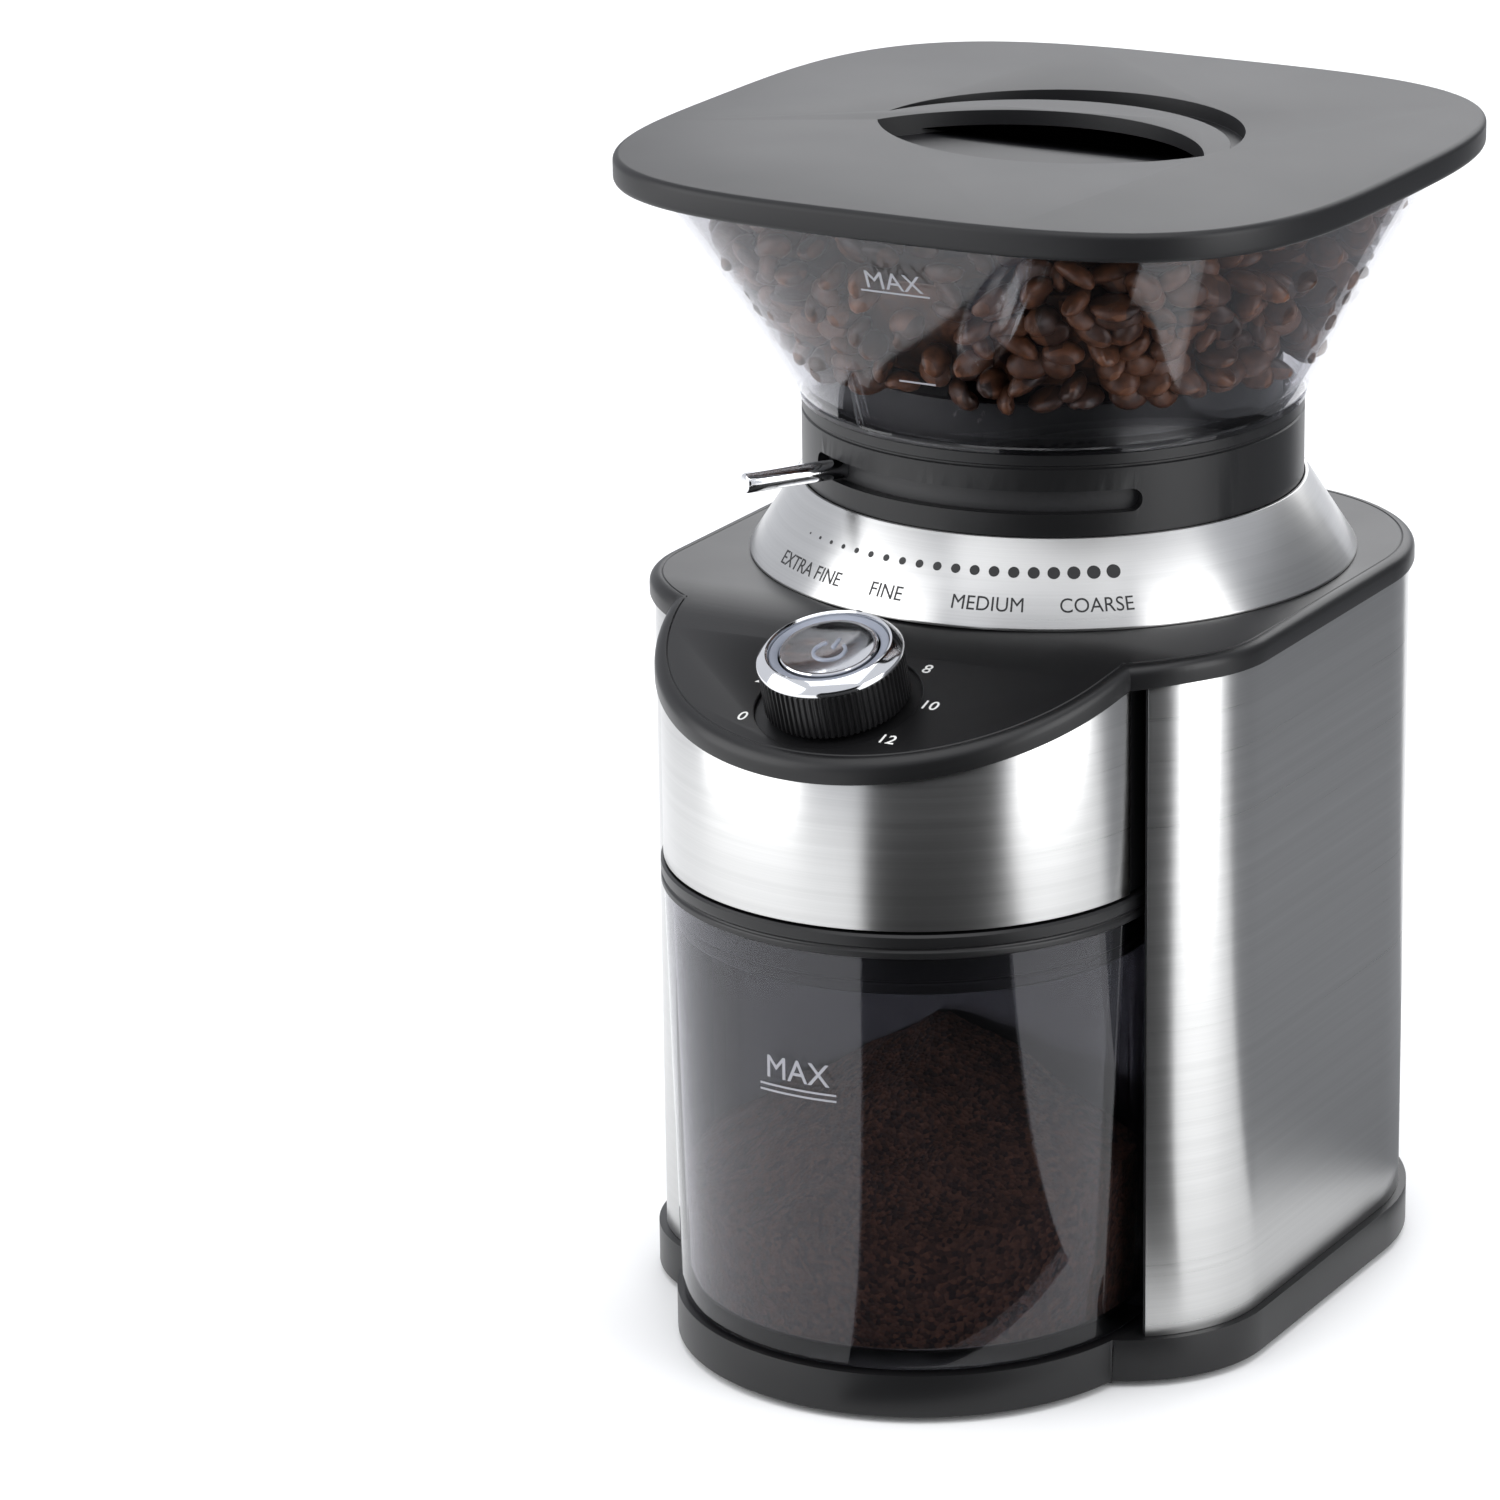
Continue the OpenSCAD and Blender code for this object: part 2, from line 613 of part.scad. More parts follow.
module hopper_seat() color("#161617") at_axis() rotate_extrude() polygon([
    [24, seat_z + 0.3], [24, seat_z + 2.3], [46, seat_z + 9], [50, seat_z + 13.5],
    [52, seat_z + 13.5], [52, seat_z + 0.3], [50, seat_z + 0.3], [50, seat_z + 6], [46, seat_z + 6],
    [30, seat_z + 0.3]]);

// A disc whose edge runs from [-half, low] over [0, high] to [half, low]
module bow(half, low, high) {
    r = (half * half + pow(high - low, 2)) / (2 * (high - low));
    translate([0, high - r]) circle(r = r, $fn = 160);
}

module lid() color("#2c2c2e") at_axis() difference() {
    bottom = overall_h - lid_edge;
    union() {
        translate([0, 0, bottom]) linear_extrude(lid_edge) polygon(squircle(lid_half));
        translate([0, 0, overall_h - dish_depth - 2]) cylinder(r = dish_r + 2, h = 4);
    }
    difference() {
        translate([0, 0, bottom - 1]) linear_extrude(lid_edge - 1.5) polygon(squircle(lid_half - 2.2));
        translate([0, 0, bottom - 5]) cylinder(r = dish_r + 2, h = 20);
    }
    difference() {
        translate([0, 0, bottom - 5]) cylinder(r = dish_r - 0.2, h = 5 + lid_edge - dish_depth - 2);
        translate([0, 0, bottom - 10]) cylinder(r = 1, h = 1);
    }
    difference() {
        translate([0, 0, overall_h - dish_depth]) cylinder(r = dish_r, h = 10);
        translate([0, 0, overall_h - dish_depth - 1]) linear_extrude(dish_depth + 1) difference() {
            bow(dish_r, 2, dish_r * 0.72);
            bow(dish_r, -8, dish_r * 0.44);
        }
    }
}

// ---- grind adjustment ----

module adjust_ring() color("#1a1a1b") at_axis() difference() {
    translate([0, 0, ring_z]) tube(ring_out, ring_in, ring_h);
    rotate([0, 0, -90 - lever_rest]) translate([ring_in - 1, 0, lever_z]) rotate([0, 90, 0])
        cylinder(r = lever_r + 0.02, h = 12, $fn = 48);
}

module lever_pin() color("#e1e2e4") at_axis() rotate([0, 0, -90 - lever_rest])
    translate([ring_in + 1, 0, lever_z]) rotate([0, 90, 0]) {
        cylinder(r = lever_r, h = collar_r + lever_out - ring_in - 2, $fn = 64);
        translate([0, 0, collar_r + lever_out - ring_in - 2])
            cylinder(r1 = lever_r, r2 = lever_r - 0.8, h = 1, $fn = 64);
    }

module burr_carrier() color("#4a4c50") at_axis() difference() {
    rotate_extrude() polygon([[20.5, carrier_floor], [20.5, carrier_floor + 4],
        [36, carrier_floor + 8], [44, carrier_top], [ring_in - slip, carrier_top],
        [ring_in - slip, carrier_floor + 2], [42.8, carrier_floor], [42.8, burr_low + 5],
        [40.5, burr_low + 5], [40.5, carrier_floor], [31, carrier_floor], [31, burr_low],
        [27.2, burr_low], [27.2, carrier_floor]]);
    for (a = [90, 210, 330]) rotate([0, 0, a]) translate([23.8, 0, carrier_floor - 1]) {
        cylinder(r = 1.3, h = 10, $fn = 32);
        translate([0, 0, 3.5]) cylinder(r = 2.5, h = 10, $fn = 32);
    }
}

module ring_burr() color("#a5a8ac") at_axis() difference() {
    translate([0, 0, burr_low]) cylinder(r = 27.1, h = carrier_floor - burr_low - 0.05);
    translate([0, 0, burr_low - eps]) cylinder(r1 = cone_burr_r + burr_gap, r2 = 19.2,
        h = carrier_floor - burr_low);
    for (i = [0:17]) rotate([0, 0, i * 20]) translate([17, 0, burr_low + 3]) rotate([0, -14, 0])
        translate([0, -0.9, 0]) cube([5.2, 1.8, 14]);
    for (a = [90, 210, 330]) rotate([0, 0, a]) translate([23.8, 0, burr_low + 5])
        cylinder(r = 1.25, h = 20, $fn = 32);
}

module burr_screws() color("#9b9da0") at_axis() for (a = [90, 210, 330]) rotate([0, 0, a])
    translate([23.8, 0, carrier_floor + 2.5]) screw(10, 2.4, 1.4, 1.2);

module burr_shaft() color("#b4b7bb") at_axis()
    translate([0, 0, gearbox_z + 0.5]) cylinder(r = shaft_r, h = carrier_floor + 9 - gearbox_z);

module cone_burr() color("#8f9296") at_axis() difference() {
    union() {
        translate([0, 0, burr_low]) cylinder(r1 = cone_burr_r, r2 = 12, h = 21);
        translate([0, 0, burr_low - 2]) cylinder(r = cone_burr_r, h = 2 + eps);
    }
    translate([0, 0, burr_low - 5]) cylinder(r = shaft_r + 0.02, h = 40);
    for (i = [0:11]) rotate([0, 0, i * 30]) translate([cone_burr_r - 2.6, 0, burr_low + 1])
        rotate([0, -28, 0]) rotate([0, 0, 8]) translate([0, -1.4, 0]) cube([8, 2.8, 26]);
}

module burr_nut() color("#c4c6c9") at_axis() translate([0, 0, burr_low + 21]) difference() {
    cylinder(r = 7, h = 4, $fn = 6);
    translate([0, 0, -1]) cylinder(r = shaft_r + 0.02, h = 10);
}

module impeller() color("#3a3c3f") at_axis() difference() {
    union() {
        translate([0, 0, chamber_floor + 1]) cylinder(r = 9, h = burr_low - 2 - chamber_floor - 1);
        translate([0, 0, chamber_floor + 1]) cylinder(r = 26, h = 2);
        for (a = [0:60:300]) rotate([0, 0, a]) translate([8, -1.2, chamber_floor + 1])
            cube([33, 2.4, 6]);
    }
    translate([0, 0, chamber_floor]) cylinder(r = shaft_r + 0.02, h = 20);
}

module output_gear() color("#c8c4b4") at_axis() difference() {
    union() {
        translate([0, 0, slow_z]) rotate([0, 0, idler_angle]) linear_extrude(10)
            gear_outline(slow_module, slow_teeth[0]);
        translate([0, 0, slow_z - 3]) cylinder(r = 8, h = 15);
    }
    translate([0, 0, slow_z - 5]) cylinder(r = shaft_r + 0.02, h = 20);
    for (a = [0:60:300]) rotate([0, 0, a]) translate([16, 0, slow_z - 1])
        cylinder(r = 4.5, h = 12, $fn = 48);
}

module idler_gear() color("#c8c4b4") at_axis() translate([idler_x, idler_y, 0]) difference() {
    union() {
        translate([0, 0, fast_z]) rotate([0, 0, motor_angle]) linear_extrude(7)
            gear_outline(fast_module, fast_teeth[0]);
        translate([0, 0, fast_z + 7 - eps]) cylinder(r = 6, h = slow_z - fast_z - 7 + 2 * eps);
        translate([0, 0, slow_z]) rotate([0, 0, idler_angle + 180 + 180 / slow_teeth[1]])
            linear_extrude(10) gear_outline(slow_module, slow_teeth[1]);
    }
    translate([0, 0, fast_z - 5]) cylinder(r = 2.5 + run, h = 60);
}

module rotor_shaft() color("#b4b7bb") at_axis() translate([0, motor_y, 0]) {
    translate([0, 0, motor_z - 2]) cylinder(r = 2.5, h = gearbox_z + 5 - motor_z);
    translate([0, 0, fast_z - 1.5]) rotate([0, 0, motor_angle + 180 + 180 / fast_teeth[1]])
        linear_extrude(9) gear_outline(fast_module, fast_teeth[1]);
    translate([0, 0, gearbox_z + 2.5]) cylinder(r = 3.6, h = 5);
}

module rotor_core() color("#77563a") at_axis() translate([0, motor_y, motor_z]) difference() {
    union() {
        translate([0, 0, 16]) cylinder(r = motor_r - 6.2, h = 36);
        translate([0, 0, 13]) cylinder(r = motor_r - 9, h = 42);
    }
    for (i = [0:11]) rotate([0, 0, i * 30]) translate([motor_r - 8.4, -1, 12]) cube([5, 2, 44]);
    translate([0, 0, -1]) cylinder(r = 2.52, h = 80);
}

module commutator() color("#b87333") at_axis() translate([0, motor_y, motor_z]) difference() {
    translate([0, 0, 3]) cylinder(r = 9.2, h = 9);
    translate([0, 0, 1]) cylinder(r = 2.52, h = 20);
    for (i = [0:11]) rotate([0, 0, i * 30]) translate([8.6, -0.3, 0]) cube([2, 0.6, 20]);
}

// ---- knob and start button ----

module knob() color("#d5d6d9") at_axis() on_slope() difference() {
    union() {
        translate([0, 0, 0.3]) linear_extrude(knob_h - 3.3)
            polygon([for (i = [0:143]) let (r = knob_r - 0.3 - (i % 2) * 0.45)
                [r * cos(i * 2.5), r * sin(i * 2.5)]]);
        translate([0, 0, knob_h - 3.1]) cylinder(r1 = knob_r, r2 = knob_r - 1.4, h = 3.1);
    }
    translate([0, 0, 3.4]) cylinder(r = button_r + slip, h = knob_h);
    translate([0, 0, -0.2]) tube(knob_r - 2, 8, 2.2);
    translate([0, 0, -1]) cylinder(r = 4.5 + run, h = 10);
    translate([0, 0, knob_h - 1]) cylinder(r = button_r + 2.3, h = 5);
}

module knob_trim() color("#8f94a0") at_axis() on_slope()
    translate([0, 0, knob_h - 1]) tube(button_r + 2.25, button_r + slip, 1.3);

module start_button() color("#cfd1d4") at_axis() on_slope() difference() {
    union() {
        translate([0, 0, knob_h - 5]) cylinder(r = button_r, h = 5.2);
        translate([0, 0, -25.5]) cylinder(r = 2.4, h = knob_h + 21);
    }
    translate([0, 0, knob_h + 42]) sphere(r = 43.5, $fn = 96);
}

// ---- grounds container ----

module jar_solid(r_foot, r_top, h, back) {
    intersection() {
        translate([0, -drum_reach, 0]) cylinder(r1 = r_foot, r2 = r_top, h = h, $fn = 128);
        translate([-100, -200 - back, -10]) cube([200, 200, 200]);
    }
}

module container() color("#8a8c93", 0.5) at_axis() difference() {
    h = jar_top - jar_base;
    translate([0, 0, jar_base]) jar_solid(jar_foot_r, jar_r, h, jar_back);
    translate([0, 0, jar_base + 2.5])
        jar_solid(jar_foot_r - jar_t, jar_r - jar_t, h - 2.5 + eps, jar_back + jar_t);
    translate([0, 0, jar_top - eps]) cylinder(r = 200, h = 5);
}

module container_lid() color("#1e1e20") at_axis() difference() {
    union() {
        translate([0, 0, jar_top + 0.05]) jar_solid(jar_r + 0.6, jar_r + 0.6, jar_lid_h - 0.05, jar_back);
        translate([0, 0, jar_top - 9])
            jar_solid(jar_r - jar_t - 0.5, jar_r - jar_t - 0.5, 9.1, jar_back + jar_t + 0.3);
    }
    translate([0, 0, jar_top - 10])
        jar_solid(jar_r - jar_t - 2.1, jar_r - jar_t - 2.1, 10 + jar_lid_h - 2, jar_back + jar_t + 2);
    translate([-mouth_half, mouth_y[0], 0])
        cube([2 * mouth_half, mouth_y[1] - mouth_y[0] - 3, 200]);
}

base();
rubber_feet();
chassis();
body_wrap();
front_panel();
front_housing();
top_cover();
cone_skirt();
collar();
grind_chamber();
chute();
gearbox_housing();
gearbox_cover();
upper_bearing();
lower_bush();
idler_pin();
motor_can();
motor_end_bell();
motor_magnets();
motor_bush();
brush_holders();
control_board();
board_parts();
timer_body();
start_switch();
cord_gland();
base_screws();
gearbox_screws();
chamber_screws();
motor_screws();
hopper();
hopper_seat();
lid();
adjust_ring();
lever_pin();
burr_carrier();
ring_burr();
burr_screws();
burr_shaft();
cone_burr();
burr_nut();
impeller();
output_gear();
idler_gear();
rotor_shaft();
rotor_core();
commutator();
knob();
knob_trim();
start_button();
container();
container_lid();
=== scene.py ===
import json
import math
import random

import bmesh
import bpy
from mathutils import Matrix, Vector, noise


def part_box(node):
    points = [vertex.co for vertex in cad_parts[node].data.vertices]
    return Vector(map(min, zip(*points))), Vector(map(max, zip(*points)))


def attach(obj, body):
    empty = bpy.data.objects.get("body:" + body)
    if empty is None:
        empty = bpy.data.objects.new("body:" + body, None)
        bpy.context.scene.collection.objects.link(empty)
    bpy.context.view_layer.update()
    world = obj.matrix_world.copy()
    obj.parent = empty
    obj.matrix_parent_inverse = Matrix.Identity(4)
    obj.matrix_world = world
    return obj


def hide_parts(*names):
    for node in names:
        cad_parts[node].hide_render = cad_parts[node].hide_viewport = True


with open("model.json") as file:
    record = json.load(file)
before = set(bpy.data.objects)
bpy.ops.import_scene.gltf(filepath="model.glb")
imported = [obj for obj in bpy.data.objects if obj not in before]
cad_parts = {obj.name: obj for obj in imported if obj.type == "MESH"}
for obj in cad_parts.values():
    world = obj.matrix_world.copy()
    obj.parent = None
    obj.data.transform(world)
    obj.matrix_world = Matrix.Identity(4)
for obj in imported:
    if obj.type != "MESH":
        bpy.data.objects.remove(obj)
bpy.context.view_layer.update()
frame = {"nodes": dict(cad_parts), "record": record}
bpy.ops.object.select_all(action="DESELECT")
mm = 0.001
skirt_low, skirt_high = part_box("cone_skirt")
axis_y = (skirt_low.y + skirt_high.y) / 2          # the burr axis stands at x = 0, y = axis_y

# ---- Camera -----------------------------------------------------------------------------
# A long lens a metre and a half away, a little above the lid, turned to the right-hand
# front corner of the machine.
bpy.ops.object.camera_add()
camera = bpy.context.object
camera.data.lens = 157.97
camera.data.sensor_width = 36
yaw, down, roll = 30.173, 18.150, -0.848           # degrees
camera.matrix_world = (Matrix.Translation((0.66468, -1.26422, 0.59321))
                       @ Matrix.Rotation(math.radians(yaw), 4, "Z")
                       @ Matrix.Rotation(math.radians(90 - down), 4, "X")
                       @ Matrix.Rotation(math.radians(roll), 4, "Z"))
bpy.context.scene.camera = camera


# ---- Floor ------------------------------------------------------------------------------
# A sheet of white paper under the machine, matt, with a faint tooth that softens its shadows.
def colour(code):
    """An sRGB hex colour as the linear value that a shader socket holds."""
    parts = [int(code[i:i + 2], 16) / 255 for i in (1, 3, 5)]
    return (*[c / 12.92 if c <= 0.04045 else ((c + 0.055) / 1.055) ** 2.4 for c in parts], 1)


def bare(name):
    """A new material with an empty node tree."""
    material = bpy.data.materials.new(name)
    material.use_nodes = True
    material.node_tree.nodes.clear()
    return material


def add(material, kind, inputs=None, **settings):
    """Adds one node with its settings, its fixed values and its links."""
    made = material.node_tree.nodes.new(kind)
    for key, value in settings.items():
        setattr(made, key, value)
    for key, value in (inputs or {}).items():
        if isinstance(value, bpy.types.NodeSocket):
            material.node_tree.links.new(value, made.inputs[key])
        else:
            made.inputs[key].default_value = value
    return made


paper = bare("white_paper")
at = add(paper, "ShaderNodeTexCoord").outputs["Object"]
tooth = add(paper, "ShaderNodeTexNoise", {"Vector": at, "Scale": 900.0, "Detail": 3.0})
bump = add(paper, "ShaderNodeBump", {"Height": tooth.outputs["Fac"], "Strength": 0.05,
                                     "Distance": 0.2 * mm})
shade = add(paper, "ShaderNodeBsdfPrincipled", {"Base Color": colour("#f4f4f3"), "Roughness": 0.7,
                                                "Normal": bump.outputs["Normal"]})
add(paper, "ShaderNodeOutputMaterial", {"Surface": shade.outputs[0]})
bpy.ops.mesh.primitive_plane_add(size=12)
floor = bpy.context.object
floor.name = "floor"
floor.data.materials.append(paper)

# ---- Light ------------------------------------------------------------------------------
# Soft boxes on both sides, overhead and behind, in a pale room. A dark card in front and a grey
# one on the right give the curved steel and the clear plastic a dark band between bright ones.
bpy.context.scene.view_settings.view_transform = "Standard"
world = bpy.data.worlds.new("pale_room")
bpy.context.scene.world = world
world.use_nodes = True
world.node_tree.nodes["Background"].inputs["Color"].default_value = (0.92, 0.94, 1, 1)
world.node_tree.nodes["Background"].inputs["Strength"].default_value = 0.85


def soft_box(name, azimuth, elevation, distance, width, height, power):
    """An area light facing the middle of the machine."""
    a, e = math.radians(azimuth), math.radians(elevation)
    way = Vector((math.sin(a) * math.cos(e), -math.cos(a) * math.cos(e), math.sin(e)))
    middle = Vector((0, 0, 0.13))
    bpy.ops.object.light_add(type="AREA", location=way * distance + middle)
    lamp = bpy.context.object
    lamp.name = name
    lamp.data.shape = "RECTANGLE"
    lamp.data.size, lamp.data.size_y, lamp.data.energy = width, height, power
    lamp.rotation_mode = "QUATERNION"
    lamp.rotation_quaternion = (-way).to_track_quat("-Z", "Y")


soft_box("left_box", -48, 12, 1.6, 1.5, 1.7, 22)
soft_box("right_box", 82, 10, 1.5, 0.9, 1.7, 17)
soft_box("top_box", 20, 78, 1.5, 1.6, 1.6, 12)
soft_box("back_box", 190, 30, 1.8, 1.6, 1.0, 10)


def slice_all(place, way, **settings):
    """Cuts the whole mesh being edited with one plane."""
    bpy.ops.mesh.select_all(action="SELECT")
    bpy.ops.mesh.bisect(plane_co=place, plane_no=way, **settings)


def scoop(name, start, end, hex_tone):
    """A card on the floor and up the wall of the room between two azimuths, seen only in
    mirror-like surfaces. Azimuths run from the front toward the user's right."""
    card_paper = bare(name + "_paper")
    shade = add(card_paper, "ShaderNodeBsdfPrincipled", {"Base Color": colour(hex_tone),
                                                         "Roughness": 0.95})
    add(card_paper, "ShaderNodeOutputMaterial", {"Surface": shade.outputs[0]})
    near, reach, wall = 0.11, 20, 1.4              # the card starts at near and ends at near * reach
    bpy.ops.mesh.primitive_circle_add(vertices=96, radius=near, location=(0, 0, 0.6 * mm))
    card = bpy.context.object
    bpy.ops.object.transform_apply(location=True)
    bpy.ops.object.mode_set(mode="EDIT")
    bpy.ops.mesh.extrude_region_move()
    bpy.ops.transform.resize(value=(reach, reach, 1), center_override=(0, 0, 0))
    bpy.ops.mesh.extrude_region_move(TRANSFORM_OT_translate={"value": (0, 0, wall)})
    for azimuth, side in ((start, -1), (end, 1)):
        a = math.radians(azimuth)
        slice_all((0, 0, 0), (side * math.cos(a), side * math.sin(a), 0), clear_outer=True)
    bpy.ops.object.mode_set(mode="OBJECT")
    card.name = name
    card.data.materials.append(card_paper)
    card.visible_camera = card.visible_shadow = card.visible_diffuse = False


scoop("dark_middle", 4, 60, "#141415")
scoop("grey_right", 106, 172, "#77787a")

# ---- Base -------------------------------------------------------------------------------
# Black ABS tray that everything is screwed to. Injection moulded, with a generous radius
# round its lower edge and a fine spark-eroded grain.
def pick(kind, test):
    """Selects, in the mesh being edited, the verts, edges or faces that pass a test of place."""
    bpy.ops.mesh.select_mode(type={"verts": "VERT", "edges": "EDGE", "faces": "FACE"}[kind])
    bpy.ops.mesh.select_all(action="DESELECT")
    data = bpy.context.edit_object.data
    mesh = bmesh.from_edit_mesh(data)
    for part in getattr(mesh, kind):
        if test(part):
            part.select_set(True)
    mesh.select_flush_mode()
    bmesh.update_edit_mesh(data)


def edit(piece):
    """Opens a piece's mesh for editing."""
    bpy.context.view_layer.objects.active = piece
    bpy.ops.object.mode_set(mode="EDIT")


def face_out():
    """Turns every face of the mesh being edited outward and ends the edit."""
    bpy.ops.mesh.select_all(action="SELECT")
    bpy.ops.mesh.normals_make_consistent(inside=False)
    bpy.ops.object.mode_set(mode="OBJECT")


def round_level(height, radius, segments, above=True):
    """Bevels the edges of the piece being edited that lie level above, or below, a height."""
    pick("edges", lambda e: all((v.co.z > height * mm) == above for v in e.verts))
    bpy.ops.mesh.bevel(offset=radius * mm, segments=segments, profile=0.5, clamp_overlap=True)


def modify(piece, kind, **settings):
    """Puts one modifier on a piece and applies it."""
    bpy.ops.object.select_all(action="DESELECT")
    piece.select_set(True)
    bpy.context.view_layer.objects.active = piece
    step = piece.modifiers.new(kind, kind)
    for key, value in settings.items():
        setattr(step, key, value)
    bpy.ops.object.modifier_apply(modifier=step.name)


def join_solid(piece, tool, operation):
    """Cuts or adds one solid with another, which is used up."""
    modify(piece, "BOOLEAN", operation=operation, object=tool, solver="EXACT")
    bpy.data.objects.remove(tool, do_unlink=True)


def soften(piece, width, segments=3, angle=32):
    """Rounds every edge sharper than the angle."""
    modify(piece, "BEVEL", width=width * mm, segments=segments, limit_method="ANGLE",
           angle_limit=math.radians(angle), use_clamp_overlap=True)


def finished(piece, name, body, material, slot, *nodes, smooth=35):
    """Names a piece, fixes its place in its mesh and fastens it to its CAD body."""
    bpy.ops.object.select_all(action="DESELECT")
    piece.select_set(True)
    bpy.context.view_layer.objects.active = piece
    bpy.ops.object.transform_apply(location=True, rotation=True, scale=True)
    if smooth:
        bpy.ops.object.shade_smooth_by_angle(angle=math.radians(smooth))
    piece.name = piece.data.name = name
    piece.data.materials.clear()
    piece.data.materials.append(material)
    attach(piece, body)
    if nodes:
        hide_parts(*nodes)
    bpy.ops.object.select_all(action="DESELECT")


body_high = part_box("top_cover")[1]
drum_y = -65 * mm + axis_y
front_corner, back_corner = 34, 50


def rear_slab(inset, low, high):
    """The rear body's outline, drawn in by inset, raised from low to high."""
    half = body_high.x - inset * mm
    front, back = -78 * mm + axis_y + inset * mm, 72 * mm + axis_y - inset * mm
    bpy.ops.mesh.primitive_plane_add(size=2, location=(0, (front + back) / 2, low * mm))
    slab = bpy.context.object
    slab.scale = (half, (back - front) / 2, 1)
    bpy.ops.object.transform_apply(location=True, rotation=True, scale=True)
    bpy.ops.object.mode_set(mode="EDIT")
    middle = (front + back) / 2
    pick("verts", lambda v: v.co.y < middle)
    bpy.ops.mesh.bevel(offset=(front_corner - inset) * mm, segments=28, affect="VERTICES")
    pick("verts", lambda v: v.co.y > back - 1e-6)
    bpy.ops.mesh.bevel(offset=(back_corner - inset) * mm, segments=36, affect="VERTICES")
    bpy.ops.mesh.select_mode(type="FACE")
    bpy.ops.mesh.select_all(action="SELECT")
    bpy.ops.mesh.extrude_region_move(TRANSFORM_OT_translate={"value": (0, 0, (high - low) * mm)})
    face_out()
    return slab


def disc(radius, low, high, x=0.0, y=None, segments=176):
    """An upright cylinder from low to high."""
    y = axis_y if y is None else y
    bpy.ops.mesh.primitive_cylinder_add(vertices=segments, radius=radius * mm,
                                        depth=(high - low) * mm,
                                        location=(x, y, (high + low) / 2 * mm))
    piece = bpy.context.object
    bpy.ops.object.transform_apply(location=True, rotation=True, scale=True)
    return piece


def spread(material, value, low, high, start=0.0, end=1.0):
    """A texture's value from start to end, laid out from low to high."""
    return add(material, "ShaderNodeMapRange", {"Value": value, "From Min": start, "From Max": end,
                                                "To Min": low, "To Max": high}).outputs["Result"]


def moulded(name, tone, grain_scale, cloud_scale, rough_range, grain_strength, specular):
    """Moulded plastic: a fine grain in its surface and slow changes in its gloss. Scales are in
    lumps to the metre."""
    material = bare(name)
    at = add(material, "ShaderNodeTexCoord").outputs["Object"]
    grain = add(material, "ShaderNodeTexNoise", {"Vector": at, "Scale": grain_scale, "Detail": 2.0})
    cloud = add(material, "ShaderNodeTexNoise", {"Vector": at, "Scale": cloud_scale, "Detail": 3.0})
    rough = spread(material, cloud.outputs["Fac"], *rough_range)
    bump = add(material, "ShaderNodeBump", {"Height": grain.outputs["Fac"],
                                            "Strength": grain_strength, "Distance": 0.08 * mm})
    shade = add(material, "ShaderNodeBsdfPrincipled",
                {"Base Color": colour(tone), "Roughness": rough, "IOR": 1.5,
                 "Specular IOR Level": specular, "Normal": bump.outputs["Normal"]})
    add(material, "ShaderNodeOutputMaterial", {"Surface": shade.outputs[0]})
    return material


# Near-black with soft highlights along its rounded edges.
black_abs = moulded("black_abs_satin", "#121213", 2600.0, 22.0, (0.3, 0.42), 0.12, 0.36)

base_low, base_high = 1.5, 11.5
base = rear_slab(-0.6, base_low, base_high)
join_solid(base, disc(55.5, base_low, base_high, y=drum_y), "UNION")
edit(base)
round_level(base_low + 0.1, 3.2, 6, above=False)
round_level(base_high - 0.1, 0.8, 3)
bpy.ops.object.mode_set(mode="OBJECT")
finished(base, "base_tray", "housing", black_abs, "black_abs", "base")

# ---- Steel wrap -------------------------------------------------------------------------
# 0.8 mm stainless sheet bent round the rear body, its ends tucked into the channels beside
# the container. Brushed level with the table, which draws reflections out up and down.
steel = bare("brushed_stainless")
at = add(steel, "ShaderNodeTexCoord").outputs["Object"]
stretch = add(steel, "ShaderNodeMapping", {"Vector": at, "Scale": (5.0, 5.0, 3000.0)})
streak = add(steel, "ShaderNodeTexNoise", {"Vector": stretch.outputs["Vector"], "Scale": 1.0,
                                           "Detail": 3.0, "Roughness": 0.6})
wide = add(steel, "ShaderNodeMapping", {"Vector": at, "Scale": (2.0, 2.0, 500.0)})
band = add(steel, "ShaderNodeTexNoise", {"Vector": wide.outputs["Vector"], "Scale": 1.0, "Detail": 2.0})
mixed = add(steel, "ShaderNodeMath", {0: streak.outputs["Fac"], 1: band.outputs["Fac"]},
            operation="ADD")
rough = spread(steel, mixed.outputs[0], 0.27, 0.31, 0.6, 1.4)
tint = spread(steel, mixed.outputs[0], 0.0, 1.0, 0.6, 1.4)
tone = add(steel, "ShaderNodeMix", {"Factor": tint, "A": colour("#bcbcbb"),
                                    "B": colour("#c9c9c8")}, data_type="RGBA")
bump = add(steel, "ShaderNodeBump", {"Height": streak.outputs["Fac"], "Strength": 0.05,
                                     "Distance": 0.02 * mm})
round_z = add(steel, "ShaderNodeTangent", direction_type="RADIAL", axis="Z")
shade = add(steel, "ShaderNodeBsdfPrincipled",
            {"Base Color": tone.outputs[2], "Metallic": 1.0, "Roughness": rough,
             "Anisotropic": 0.8, "Anisotropic Rotation": 0.25, "Normal": bump.outputs["Normal"],
             "Tangent": round_z.outputs[0]})
add(steel, "ShaderNodeOutputMaterial", {"Surface": shade.outputs[0]})

slope = math.radians(17)                           # of the deck's front lobe
bend_start, bend_r = 62.0, 60.0                    # where it leaves the level, and how softly


def fall(y):
    """How far the deck has dropped, in metres, at this place toward the user."""
    past = (axis_y - y) / mm - bend_start
    if past <= 0:
        return 0.0
    if past < bend_r * math.sin(slope):
        return (bend_r - math.sqrt(bend_r * bend_r - past * past)) * mm
    return (bend_r * (1 - math.cos(slope)) + (past - bend_r * math.sin(slope)) * math.tan(slope)) * mm


